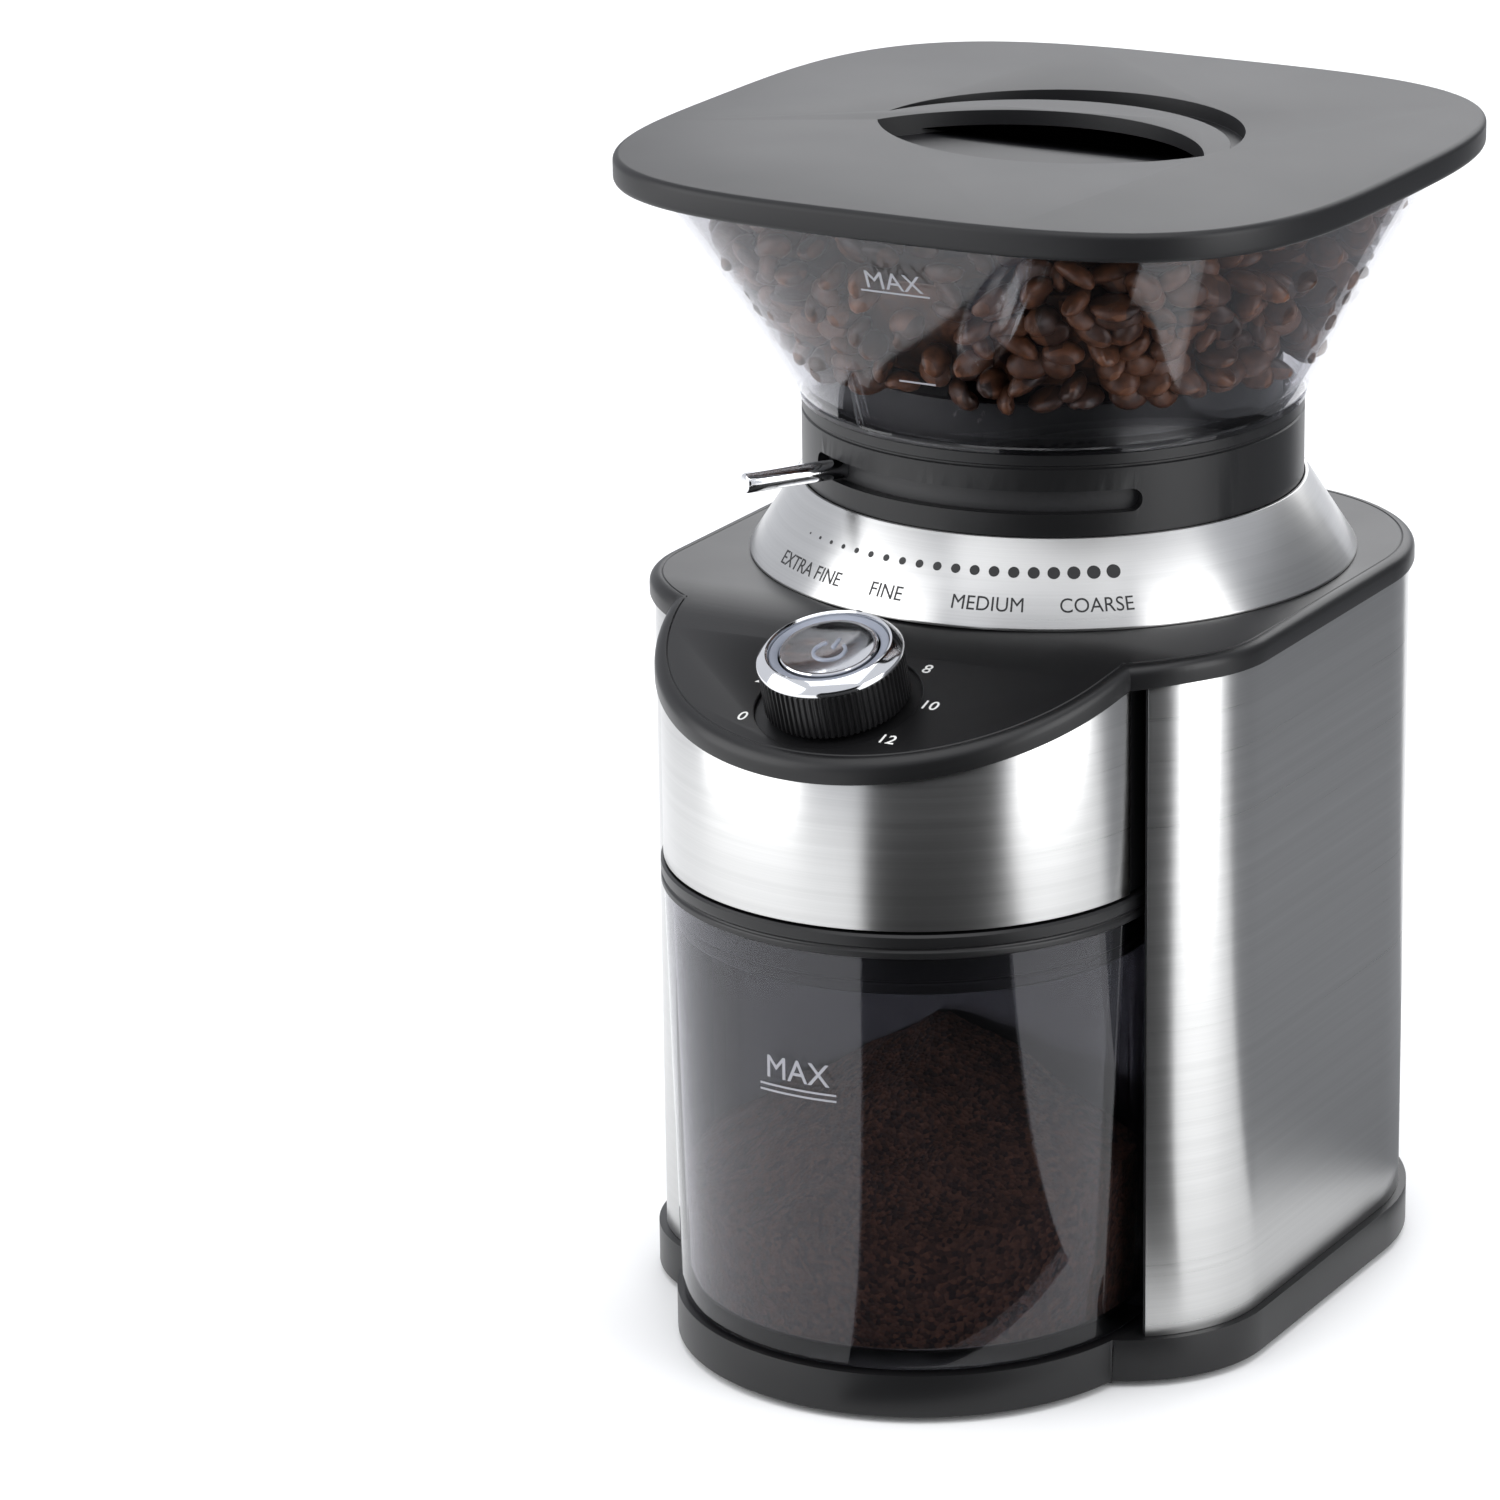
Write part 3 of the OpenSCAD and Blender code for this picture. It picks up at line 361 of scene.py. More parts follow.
def lower_front(piece, above):
    """Lets what stands above a height follow the falling deck."""
    for vert in piece.data.vertices:
        if vert.co.z > above * mm:
            vert.co.z -= fall(vert.co.y)


def open_ends():
    """Deletes the level faces of the slab being edited, which leaves its wall."""
    pick("faces", lambda f: abs(f.normal.z) > 0.5)
    bpy.ops.mesh.delete(type="FACE")


sheet = 0.8 * mm
wrap_end = 60 * mm                                 # the sheet's two ends stand this far out
wrap = rear_slab(1.2, 11.55, 163.7)
edit(wrap)
open_ends()
slice_all((wrap_end, 0, 0), (1, 0, 0))
slice_all((-wrap_end, 0, 0), (1, 0, 0))
pick("faces", lambda f: abs(f.calc_center_median().x) < wrap_end and f.calc_center_median().y < 0)
bpy.ops.mesh.delete(type="FACE")
bpy.ops.object.mode_set(mode="OBJECT")
lower_front(wrap, 100)
modify(wrap, "SOLIDIFY", thickness=sheet, offset=-1)
soften(wrap, 0.18, 2, 50)
finished(wrap, "steel_wrap", "housing", steel, "steel_sheet", "body_wrap")

# ---- Curved front panel -----------------------------------------------------------------
# The same brushed sheet, rolled round the drum over the container and left plain.
panel_r, panel_low, panel_high = 56.8, 115.6, 163.6
panel_back = axis_y - 72 * mm
panel = disc(panel_r, panel_low, panel_high, y=drum_y, segments=220)
bpy.ops.object.mode_set(mode="EDIT")
open_ends()
slice_all((0, panel_back, 0), (0, 1, 0), clear_outer=True)
bpy.ops.object.mode_set(mode="OBJECT")
lower_front(panel, 140)
modify(panel, "SOLIDIFY", thickness=sheet, offset=-1)
soften(panel, 0.2, 2, 50)
finished(panel, "curved_steel_panel", "housing", steel, "steel_sheet", "front_panel")

# ---- Top cover --------------------------------------------------------------------------
# One black ABS moulding over the whole machine. Its edge is rounded over, with a fine
# crease a few millimetres in, and its front lobe slopes down and carries the dial.
deck = body_high.z / mm
cover_t = 5.2


def rim(piece):
    """Rounds the moulding's upper edge over, with a fine crease inside it."""
    edit(piece)
    round_level(deck - 0.1, 2.3, 7)
    pick("faces", lambda f: f.normal.z > 0.999 and f.calc_area() > 1e-3)
    bpy.ops.mesh.inset(thickness=0.35 * mm)
    bpy.ops.mesh.inset(thickness=0.25 * mm, depth=-0.18 * mm)
    bpy.ops.mesh.inset(thickness=0.25 * mm, depth=0.18 * mm)
    round_level(deck - cover_t + 0.1, 0.5, 2, above=False)
    bpy.ops.object.mode_set(mode="OBJECT")
    return piece


cover = rim(rear_slab(0, deck - cover_t, deck))
join_solid(cover, rim(disc(58, deck - cover_t, deck, y=drum_y)), "UNION")
join_solid(cover, disc(52, 150, 180), "DIFFERENCE")
edit(cover)
for row in range(13):                              # so that the deck can bend
    slice_all((0, axis_y - (60.5 + row * 1.6) * mm, 0), (0, 1, 0))
bpy.ops.object.mode_set(mode="OBJECT")
lower_front(cover, 0)
dial_y = axis_y - 100.7 * mm
dial = (Matrix.Translation((0, dial_y, deck * mm - fall(dial_y)))
        @ Matrix.Rotation(slope, 4, "X"))
moat_r = 18.4                                      # the sunk ring that the knob turns in
moat = disc(moat_r, -0.9, 6, y=0.0, segments=128)
moat.data.transform(dial)
join_solid(cover, moat, "DIFFERENCE")
edit(cover)
inward = dial.inverted()


def on_moat_edge(edge):
    """Whether an edge lies on the moat's upper rim."""
    for vert in edge.verts:
        p = inward @ vert.co
        off = abs(math.hypot(p.x, p.y) - moat_r * mm)
        if off > 0.15 * mm or p.z < -0.6 * mm or p.z > 1 * mm:
            return False
    return True


pick("edges", on_moat_edge)
bpy.ops.mesh.bevel(offset=0.45 * mm, segments=3, profile=0.5, clamp_overlap=True)
bpy.ops.object.mode_set(mode="OBJECT")
finished(cover, "top_cover_shell", "housing", black_abs, "black_abs", "top_cover", smooth=28)


# ---- Steel cone -------------------------------------------------------------------------
# Spun stainless skirt round the collar, brushed on the lathe, with the grind scale printed
# on it in black: nineteen dots that grow from fine to coarse, and four words.
def turned(rings, y=None, segments=144):
    """Draws a round piece ring by ring: a circle, extruded and scaled along its section.
    A section that ends where it began is closed on itself."""
    y = axis_y if y is None else y
    radius, height = rings[0]
    bpy.ops.mesh.primitive_circle_add(vertices=segments, radius=radius * mm,
                                      location=(0, y, height * mm))
    piece = bpy.context.object
    bpy.ops.object.transform_apply(location=True, rotation=True, scale=True)
    bpy.ops.object.mode_set(mode="EDIT")
    bpy.ops.mesh.select_mode(type="VERT")
    bpy.ops.mesh.select_all(action="SELECT")
    for r, z in rings[1:]:
        up = (0, 0, (z - height) * mm)
        bpy.ops.mesh.extrude_region_move(TRANSFORM_OT_translate={"value": up})
        bpy.ops.transform.resize(value=(r / radius, r / radius, 1), center_override=(0, y, z * mm))
        radius, height = r, z
    bpy.ops.mesh.select_all(action="SELECT")
    bpy.ops.mesh.remove_doubles(threshold=0.004 * mm)
    face_out()
    return piece


cone_r, cone_z, cone_top_r, cone_top_z = 69.2, 169.6, 58.0, 187.0
cone = turned([(cone_r, 169.05), (cone_r, cone_z), (cone_top_r, cone_top_z), (57.2, cone_top_z),
               (57.2, 186.2), (68.0, cone_z), (68.2, 169.05), (cone_r, 169.05)], segments=220)
soften(cone, 0.15, 2, 25)
finished(cone, "steel_cone", "housing", steel, "steel_sheet", "cone_skirt")

def coated(name, tone, scale, rough_low, rough_high, metal=0.0, detail=2.0):
    """One colour whose gloss varies a little, with scale lumps to the metre."""
    material = bare(name)
    at = add(material, "ShaderNodeTexCoord").outputs["Object"]
    film = add(material, "ShaderNodeTexNoise", {"Vector": at, "Scale": scale, "Detail": detail})
    rough = spread(material, film.outputs["Fac"], rough_low, rough_high)
    shade = add(material, "ShaderNodeBsdfPrincipled", {"Base Color": colour(tone),
                                                       "Metallic": metal, "Roughness": rough})
    add(material, "ShaderNodeOutputMaterial", {"Surface": shade.outputs[0]})
    return material


# Flat black that keeps the print sharp on the bright steel.
black_ink = coated("black_screen_ink", "#121214", 1500.0, 0.4, 0.6)

rise = Vector((cone_top_r - cone_r, 0, cone_top_z - cone_z)).normalized()    # up the cone's side
outward = Vector((rise.z, 0, -rise.x))


def on_cone(piece, degrees, z):
    """Lays a flat print on the cone: its x goes round, its y goes up the side."""
    for vert in piece.data.vertices:
        r = cone_r + (z - cone_z) / (cone_top_z - cone_z) * (cone_top_r - cone_r)
        section = Vector((r * mm, 0, z * mm)) + rise * vert.co.y + outward * (0.03 * mm + vert.co.z)
        turn = math.radians(degrees - 90) + vert.co.x / (r * mm)
        vert.co = Vector((section.x * math.cos(turn), section.x * math.sin(turn) + axis_y, section.z))


def joined(pieces):
    """Makes many pieces one."""
    bpy.ops.object.select_all(action="DESELECT")
    for piece in pieces:
        piece.select_set(True)
    bpy.context.view_layer.objects.active = pieces[0]
    bpy.ops.object.join()
    return bpy.context.object


dots = []
dot_count, first_dot, dot_step = 19, -33, 4.04      # azimuths in degrees
for i in range(dot_count):
    size = 0.24 + 1.34 * (i / (dot_count - 1)) ** 0.8
    bpy.ops.mesh.primitive_cylinder_add(vertices=28, radius=size * mm, depth=0.04 * mm)
    on_cone(bpy.context.object, first_dot + i * dot_step, 180.4)
    dots.append(bpy.context.object)
finished(joined(dots), "grind_dots", "housing", black_ink, "black_abs", smooth=None)


def lettering(words, height, depth=0.04, heavy=0.0):
    """Words as a thin solid lying flat, centred on the origin."""
    bpy.ops.object.text_add()
    text = bpy.context.object
    text.data.body = words
    text.data.size = height / 0.7 * mm
    text.data.extrude = depth / 2 * mm
    text.data.offset = heavy * mm
    text.data.align_x, text.data.align_y = "CENTER", "CENTER"
    text.data.resolution_u = 6
    bpy.ops.object.convert(target="MESH")
    bpy.ops.object.transform_apply(location=True, rotation=True, scale=True)
    return bpy.context.object


for name, words, degrees in (("word_extra_fine", "EXTRA FINE", -28), ("word_fine", "FINE", -6.3),
                             ("word_medium", "MEDIUM", 14.9), ("word_coarse", "COARSE", 35.8)):
    word = lettering(words, 3.3)
    word.data.transform(Matrix.Diagonal((0.94, 1, 1, 1)))
    on_cone(word, degrees, 174.0)
    finished(word, name, "housing", black_ink, "black_abs", smooth=None)

# ---- Collar -----------------------------------------------------------------------------
# Black ABS ring that the hopper stands on, with a fine groove under its lip and a long
# round-ended slot for the lever.
collar = turned([(57, 187.05), (57, 202.2), (56.6, 202.5), (56.6, 202.9), (57, 203.2), (57, 205.5),
                 (54.5, 205.5), (54.5, 187.05), (57, 187.05)], segments=220)
slot_from, slot_to, slot_z = -37.5, 45.0, 194.7     # degrees, degrees, millimetres
slot_r, slot_deep, slot_high = 56, 8, 5.2


def in_slot(degrees, radius):
    """The place at an azimuth and a radius, halfway up the slot, with its x pointing out."""
    return (Matrix.Translation((0, axis_y, slot_z * mm))
            @ Matrix.Rotation(math.radians(degrees - 90), 4, "Z")
            @ Matrix.Translation((radius * mm, 0, 0)))


upright = Matrix.Rotation(math.radians(90), 4, "X")
lengthwise = Matrix.Rotation(math.radians(90), 4, "Y")
bpy.ops.mesh.primitive_plane_add(size=1)
sweep = bpy.context.object
sweep.data.transform(Matrix.Rotation(math.radians(slot_from - 90), 4, "Z")
                     @ Matrix.Translation((slot_r * mm, 0, 0)) @ upright
                     @ Matrix.Diagonal((slot_deep * mm, slot_high * mm, 1, 1)))
sweep.data.transform(Matrix.Translation((0, axis_y, slot_z * mm)))
bpy.ops.object.mode_set(mode="EDIT")
bpy.ops.mesh.select_all(action="SELECT")
bpy.ops.mesh.spin(steps=60, angle=-math.radians(slot_to - slot_from),
                  center=(0, axis_y, slot_z * mm), axis=(0, 0, 1))
face_out()
swept = [v.co for v in sweep.data.vertices]
if max(v.x for v in swept) < 20 * mm:            # with no window the spin may run the other way
    raise RuntimeError("the slot was swept the wrong way")
join_solid(collar, sweep, "DIFFERENCE")
for end in (slot_from, slot_to):
    bpy.ops.mesh.primitive_cylinder_add(vertices=40, radius=2.58 * mm, depth=slot_deep * mm)
    cap = bpy.context.object
    cap.data.transform(in_slot(end, slot_r) @ lengthwise)
    join_solid(collar, cap, "DIFFERENCE")
soften(collar, 0.35, 3, 40)
finished(collar, "slotted_collar", "housing", black_abs, "black_abs", "collar")

# ---- Grind lever ------------------------------------------------------------------------
# Chrome-plated steel pin screwed into the adjusting ring, with rounded ends. The plating
# mirrors the room sharply, a little blurred where it has been touched.
chrome = coated("bright_chrome", "#dfe0e2", 160.0, 0.04, 0.11, metal=1.0, detail=4.0)

bpy.ops.mesh.primitive_cylinder_add(vertices=64, radius=2.3 * mm, depth=31 * mm)
pin = bpy.context.object
lever_rest = -32                                   # its azimuth at the finest setting
pin.data.transform(in_slot(lever_rest, 64.0) @ lengthwise)
soften(pin, 0.7, 2, 60)
finished(pin, "lever_rod", "adjuster", chrome, "chrome", "lever_pin", smooth=30)

# ---- Hopper -----------------------------------------------------------------------------
# Clear smoky plastic, round at the neck and a soft square at the rim, with a plug that drops
# into the collar. Polished in the mould, so it mirrors the room a little on every face.
def clear_plastic(name, tint):
    """Polished clear plastic: each face lets most light through and mirrors some of it."""
    material = bare(name)
    at = add(material, "ShaderNodeTexCoord").outputs["Object"]
    flow = add(material, "ShaderNodeTexNoise", {"Vector": at, "Scale": 28.0, "Detail": 1.0})
    rough = spread(material, flow.outputs["Fac"], 0.02, 0.07)
    bump = add(material, "ShaderNodeBump", {"Height": flow.outputs["Fac"], "Strength": 0.1,
                                            "Distance": 0.6 * mm})
    side = add(material, "ShaderNodeNewGeometry").outputs["Backfacing"]
    index = spread(material, side, 1.5, 1 / 1.5)
    edge = add(material, "ShaderNodeFresnel", {"IOR": index, "Normal": bump.outputs["Normal"]})
    through = add(material, "ShaderNodeBsdfTransparent", {"Color": colour(tint)})
    gloss = add(material, "ShaderNodeBsdfPrincipled",
                {"Base Color": colour("#e8e8ea"), "Metallic": 1.0, "Roughness": rough,
                 "Normal": bump.outputs["Normal"]})
    both = add(material, "ShaderNodeMixShader", {0: edge.outputs[0], 1: through.outputs[0],
                                                 2: gloss.outputs[0]})
    add(material, "ShaderNodeOutputMaterial", {"Surface": both.outputs[0]})
    return material


hopper_clear = clear_plastic("smoky_san_clear", "#eeeef0")
neck_z, rim_z = 206.1, 262.2
neck_r, flare = 57, 24.5                           # the wall leans out by flare, from neck to rim
square_power = 2 / 3.4                             # the rim's outline is a superellipse


def squareness(z):
    """0 where the hopper is round and 1 where it is the full soft square."""
    return min(max((z - neck_z) / (rim_z - neck_z), 0.0), 1.0)


def square_off(x, y, share):
    """Moves a point of a circle toward the soft square of the same half width."""
    r = math.hypot(x, y)
    c, s = x / r, y / r
    return (r * ((1 - share) * c + share * math.copysign(abs(c) ** square_power, c)),
            r * ((1 - share) * s + share * math.copysign(abs(s) ** square_power, s)))


def square_piece(piece, share):
    """Squares off a round piece about the burr axis by a share that depends on height in mm."""
    for vert in piece.data.vertices:
        if math.hypot(vert.co.x, vert.co.y - axis_y) > 1e-6:
            x, y = square_off(vert.co.x, vert.co.y - axis_y, share(vert.co.z / mm))
            vert.co.x, vert.co.y = x, y + axis_y


def hopper_r(z):
    """The hopper's outer half width at a height, both in mm."""
    return neck_r + flare * squareness(z)


climb = [neck_z + (rim_z - 0.6 - neck_z) * i / 12 for i in range(1, 13)]
hopper_t = 1.9
hopper = turned([(neck_r, 205.55), (57.5, 205.9), (57.5, 206.9), (57.2, 207.3)]
                + [(hopper_r(z), z) for z in climb]
                + [(81.2, rim_z - 0.15), (80.9, rim_z), (80.1, rim_z)]
                + [(hopper_r(z) - hopper_t, z) for z in reversed(climb)]
                + [(55.3, 207.6), (52.4, 206.6), (52.4, 202.1), (54.0, 202.1), (54.0, 205.55),
                   (neck_r, 205.55)], segments=192)
square_piece(hopper, squareness)
finished(hopper, "hopper_shell", "hopper", hopper_clear, "smoky_clear", "hopper", smooth=30)

# Frosted raised letters, which catch the light and so read as pale on the clear wall.
pale_relief = coated("frosted_moulded_letters", "#8d8d92", 1800.0, 0.35, 0.55)
lean = math.atan2(flare, rim_z - neck_z)


def bar(width, height, depth):
    """A small flat strip lying face up at the origin."""
    bpy.ops.mesh.primitive_cube_add(size=1)
    strip = bpy.context.object
    strip.data.transform(Matrix.Diagonal((width * mm, height * mm, depth * mm, 1)))
    return strip


def on_hopper(piece, z):
    """Stands a flat print on the front of the hopper, which leans out."""
    piece.data.transform(Matrix.Translation((0, axis_y - (hopper_r(z) + 0.02) * mm, z * mm))
                         @ Matrix.Rotation(math.radians(90) + lean, 4, "X"))


fill_word = lettering("MAX", 4.6, 0.12)
fill_word.data.transform(Matrix.Translation((0, 2.9 * mm, 0)))
on_hopper(fill_word, 244.2)
finished(fill_word, "hopper_fill_word", "hopper", pale_relief, "smoky_clear", smooth=None)
for name, z, width in (("hopper_fill_line", 244.2, 17), ("hopper_low_line", 222, 9)):
    line = bar(width, 0.5, 0.12)
    on_hopper(line, z)
    soften(line, 0.04, 1)
    finished(line, name, "hopper", pale_relief, "smoky_clear", smooth=None)

# ---- Coffee beans -----------------------------------------------------------------------
# Medium-dark roast, about 10 mm long, one side flat with a crease. A rounded dark mass stands
# for the beans in the middle of the heap, which nothing can see.
roast = bare("roasted_coffee_bean")
at = add(roast, "ShaderNodeTexCoord").outputs["Object"]
each = add(roast, "ShaderNodeTexVoronoi", {"Vector": at, "Scale": 115.0})
fleck = add(roast, "ShaderNodeTexNoise", {"Vector": at, "Scale": 520.0, "Detail": 4.0})
mixed = add(roast, "ShaderNodeMath", {0: each.outputs["Color"], 1: fleck.outputs["Fac"]},
            operation="MULTIPLY")
tone = spread(roast, mixed.outputs[0], 0.0, 1.0, 0.05, 0.45)
brown = add(roast, "ShaderNodeMix", {"Factor": tone, "A": colour("#2c1a12"),
                                     "B": colour("#6b432b")}, data_type="RGBA")
rough = spread(roast, fleck.outputs["Fac"], 0.3, 0.5)
bump = add(roast, "ShaderNodeBump", {"Height": fleck.outputs["Fac"], "Strength": 0.3,
                                     "Distance": 0.3 * mm})
shade = add(roast, "ShaderNodeBsdfPrincipled",
            {"Base Color": brown.outputs[2], "Normal": bump.outputs["Normal"],
             "Roughness": rough})
add(roast, "ShaderNodeOutputMaterial", {"Surface": shade.outputs[0]})

bpy.ops.mesh.primitive_uv_sphere_add(segments=12, ring_count=7, radius=1)
bean = bpy.context.object
bean.data.transform(Matrix.Diagonal((5.3 * mm, 3.9 * mm, 3.1 * mm, 1)) @ lengthwise)
for vert in bean.data.vertices:
    if vert.co.z < -0.1 * mm:
        vert.co.z *= 0.55
    if vert.co.z < 0 and abs(vert.co.y) < 0.3 * mm and abs(vert.co.x) < 5 * mm:
        vert.co.z += 0.6 * mm                      # the crease along the flat side
bpy.ops.object.shade_smooth()

chance = random.Random(7)
places = []
for row in range(8):                               # rings of beans against the wall
    z = 218.5 + row * 4.3
    r = hopper_r(z) - 6.3
    count = int(2 * math.pi * r / 9.2)
    for i in range(count):
        a = 2 * math.pi * (i + 0.5 * (row % 2) + chance.uniform(-0.2, 0.2)) / count
        x, y = square_off(r * math.cos(a), r * math.sin(a), squareness(z) * 0.92)
        top = 3.5 * noise.noise(Vector((x * 0.05, y * 0.05, 1.0)))
        if row < 7 or top > 0:
            places.append((x, y + axis_y / mm, z + chance.uniform(-1, 1) + (top if row > 5 else 0)))
for ring in range(7):                              # the top of the heap
    r = 62 - ring * 9.2
    count = max(int(2 * math.pi * r / 9), 3)
    for i in range(count):
        a = 2 * math.pi * (i + chance.uniform(-0.3, 0.3)) / count
        x, y = square_off(r * math.cos(a), r * math.sin(a), 0.8)
        places.append((x, y + axis_y / mm, 249.5 + (62 - r) * 0.03 + chance.uniform(-1.5, 1.5)))
heap = []
for x, y, z in places:
    copy = bean.copy()
    copy.data = bean.data.copy()
    turn = (Matrix.Rotation(chance.uniform(0, 6.28), 4, "Z")
            @ Matrix.Rotation(chance.uniform(0, 6.28), 4, "X")
            @ Matrix.Rotation(chance.uniform(-0.7, 0.7), 4, "Y")
            @ Matrix.Scale(chance.uniform(0.9, 1.08), 4))
    copy.data.transform(Matrix.Translation((x * mm, y * mm, z * mm)) @ turn)
    bpy.context.collection.objects.link(copy)
    heap.append(copy)
bpy.data.objects.remove(bean, do_unlink=True)
finished(joined(heap), "coffee_beans", "hopper", roast, "smoky_clear", smooth=None)


def close_ends(piece):
    """Caps the open ends of a turned piece."""
    edit(piece)
    bpy.ops.mesh.select_all(action="SELECT")
    bpy.ops.mesh.fill_holes(sides=0)
    face_out()


core = turned([(1, 217.5), (44, 218), (48, 220), (hopper_r(234) - 10, 234),
               (hopper_r(244) - 11, 244), (54, 248), (1, 249)], segments=72)
square_piece(core, lambda z: squareness(z) * 0.9)
close_ends(core)
finished(core, "bean_heap_middle", "hopper", roast, "smoky_clear")

# ---- Lid --------------------------------------------------------------------------------
# Satin black soft-square lid with a rounded rim and a finger pocket: a pointed pocket in
# front, an arched grip level with the lid, and a shallower hollow behind the grip.
satin_black = moulded("black_abs_fine_spark", "#111113", 3200.0, 14.0, (0.4, 0.5), 0.15, 0.34)


def soft_square(half, low, high):
    """A soft-square slab about the burr axis, one solid."""
    slab = disc(half, low, high, segments=192)
    square_piece(slab, lambda z: 1.0)
    return slab


def bow_disc(tip, tip_y, apex_y, low, high):
    """A cylinder whose edge passes through (-tip, tip_y), (0, apex_y) and (tip, tip_y)."""
    sag = apex_y - tip_y
    r = (tip * tip + sag * sag) / (2 * abs(sag))
    centre = apex_y - math.copysign(r, sag)
    return disc(r, low, high, y=axis_y + centre * mm, segments=200)


lid_top, lid_low = 265.0, 258.5
lid = soft_square(87, lid_low, lid_top)
edit(lid)
round_level(lid_top - 0.1, 1.5, 6)
round_level(lid_low + 0.1, 1.6, 5, above=False)
bpy.ops.object.mode_set(mode="OBJECT")
hollow = soft_square(84.8, 257, lid_low + 4)
join_solid(hollow, disc(45, 256, 264), "DIFFERENCE")
join_solid(lid, hollow, "DIFFERENCE")
pocket = bow_disc(41, -7, 19, 260.4, 268)
join_solid(pocket, bow_disc(41, -7, -30, 259, 270), "INTERSECT")
join_solid(lid, pocket, "DIFFERENCE")
behind = disc(43, 261.6, 268, segments=200)
join_solid(behind, bow_disc(43, 2, 31, 259, 270), "DIFFERENCE")
join_solid(lid, behind, "DIFFERENCE")
soften(lid, 0.7, 4, 50)
finished(lid, "hopper_lid", "lid", satin_black, "black_abs", "lid", smooth=30)

# ---- Grounds container ------------------------------------------------------------------
# Smoky clear D-shaped box, round in front and flat behind, with a thick floor. It is pulled
# straight out. A fill mark is moulded in its front.
jar_clear = clear_plastic("smoky_san_dark", "#dcdce0")


def flat_back(piece, back):
    """Cuts the back off a round piece of the container and closes it."""
    edit(piece)
    slice_all((0, axis_y - back * mm, 0), (0, 1, 0), clear_outer=True, use_fill=True)
    face_out()


def capped(rings):
    """A solid round piece on the container's axis, closed top and bottom."""
    piece = turned(rings, y=drum_y, segments=176)
    close_ends(piece)
    return piece


jar_foot_r, jar_foot_z, jar_r, jar_top = 54.4, 13.6, 56.8, 109.4
jar = capped([(52.8, 11.9), (54.0, 12.4), (jar_foot_r, jar_foot_z), (jar_r, jar_top)])
flat_back(jar, 56.8)
jar_inside = capped([(51.0, 15.4), (52.3, 15.9), (52.8, 17.2), (55.0, jar_top), (55.0, 112)])
flat_back(jar_inside, 58.6)
join_solid(jar, jar_inside, "DIFFERENCE")
finished(jar, "grounds_container_shell", "container", jar_clear, "smoky_clear", "container",
         smooth=30)

for side, name in ((1, "container_rib_right"), (-1, "container_rib_left")):
    rib = disc(1.5, 17, 107, x=side * 51.6 * mm, y=axis_y - 60.2 * mm, segments=24)
    soften(rib, 0.4, 2, 50)
    finished(rib, name, "container", jar_clear, "smoky_clear")


def on_jar(piece, z):
    """Wraps a flat print round the front of the container."""
    up = (z - jar_foot_z) / (jar_top - jar_foot_z)
    r = jar_foot_r + up * (jar_r - jar_foot_r) + 0.02
    for vert in piece.data.vertices:
        turn = vert.co.x / (r * mm)
        out = r * mm + vert.co.z
        vert.co = (out * math.sin(turn), drum_y - out * math.cos(turn), z * mm + vert.co.y)


fill_word = lettering("MAX", 5.2, 0.12)
on_jar(fill_word, 80.6)
finished(fill_word, "container_fill_word", "container", pale_relief, "smoky_clear", smooth=None)
for name, z in (("container_fill_line_upper", 76.6), ("container_fill_line_lower", 75.2)):
    line = bar(19, 0.45, 0.12)
    edit(line)
    for cut in range(-8, 9):                       # so that the line can bend round the wall
        slice_all((cut * 1.05 * mm, 0, 0), (1, 0, 0))
    bpy.ops.object.mode_set(mode="OBJECT")
    on_jar(line, z)
    finished(line, name, "container", pale_relief, "smoky_clear", smooth=None)

jar_lid = capped([(57.0, 109.45), (57.4, 109.8), (57.4, 111.0), (56.9, 111.3), (56.9, 111.8),
                  (57.4, 112.1), (57.4, 114.4), (56.9, 114.95)])
skirt = capped([(54.2, 100.4), (54.5, 100.8), (54.5, 102.5), (54.2, 102.8), (54.2, 103.2),
                (54.5, 103.5), (54.5, 110)])
join_solid(jar_lid, skirt, "UNION")
flat_back(jar_lid, 56.85)
lid_inside = capped([(52.6, 99), (52.6, 113)])
flat_back(lid_inside, 58.8)
join_solid(jar_lid, lid_inside, "DIFFERENCE")
bpy.ops.mesh.primitive_cube_add(size=1)
mouth = bpy.context.object
mouth.data.transform(Matrix.Translation((0, axis_y - 70.25 * mm, 110 * mm))
                     @ Matrix.Diagonal((24.4 * mm, 14.9 * mm, 40 * mm, 1)))
join_solid(jar_lid, mouth, "DIFFERENCE")
soften(jar_lid, 0.25, 2, 55)
finished(jar_lid, "container_lid_moulding", "container", black_abs, "black_abs", "container_lid",
         smooth=30)

# ---- Ground coffee ----------------------------------------------------------------------
# A heap of medium grounds under the chute, highest at the back and falling to both sides at
# the slope that loose grounds hold.
grounds = bare("ground_coffee")
at = add(grounds, "ShaderNodeTexCoord").outputs["Object"]
grit = add(grounds, "ShaderNodeTexVoronoi", {"Vector": at, "Scale": 950.0})
clump = add(grounds, "ShaderNodeTexNoise", {"Vector": at, "Scale": 180.0, "Detail": 5.0})
tone = spread(grounds, grit.outputs["Color"], 0.0, 1.0, 0.2, 0.95)
brown = add(grounds, "ShaderNodeMix", {"Factor": tone, "A": colour("#24150f"),
                                       "B": colour("#5a3a28")}, data_type="RGBA")
relief = add(grounds, "ShaderNodeMath", {0: grit.outputs["Distance"], 1: clump.outputs["Fac"]},
             operation="ADD")
bump = add(grounds, "ShaderNodeBump", {"Height": relief.outputs[0], "Strength": 0.8,
                                       "Distance": 0.6 * mm})
shade = add(grounds, "ShaderNodeBsdfPrincipled", {"Base Color": brown.outputs[2], "Roughness": 0.85,
                                                  "Normal": bump.outputs["Normal"]})
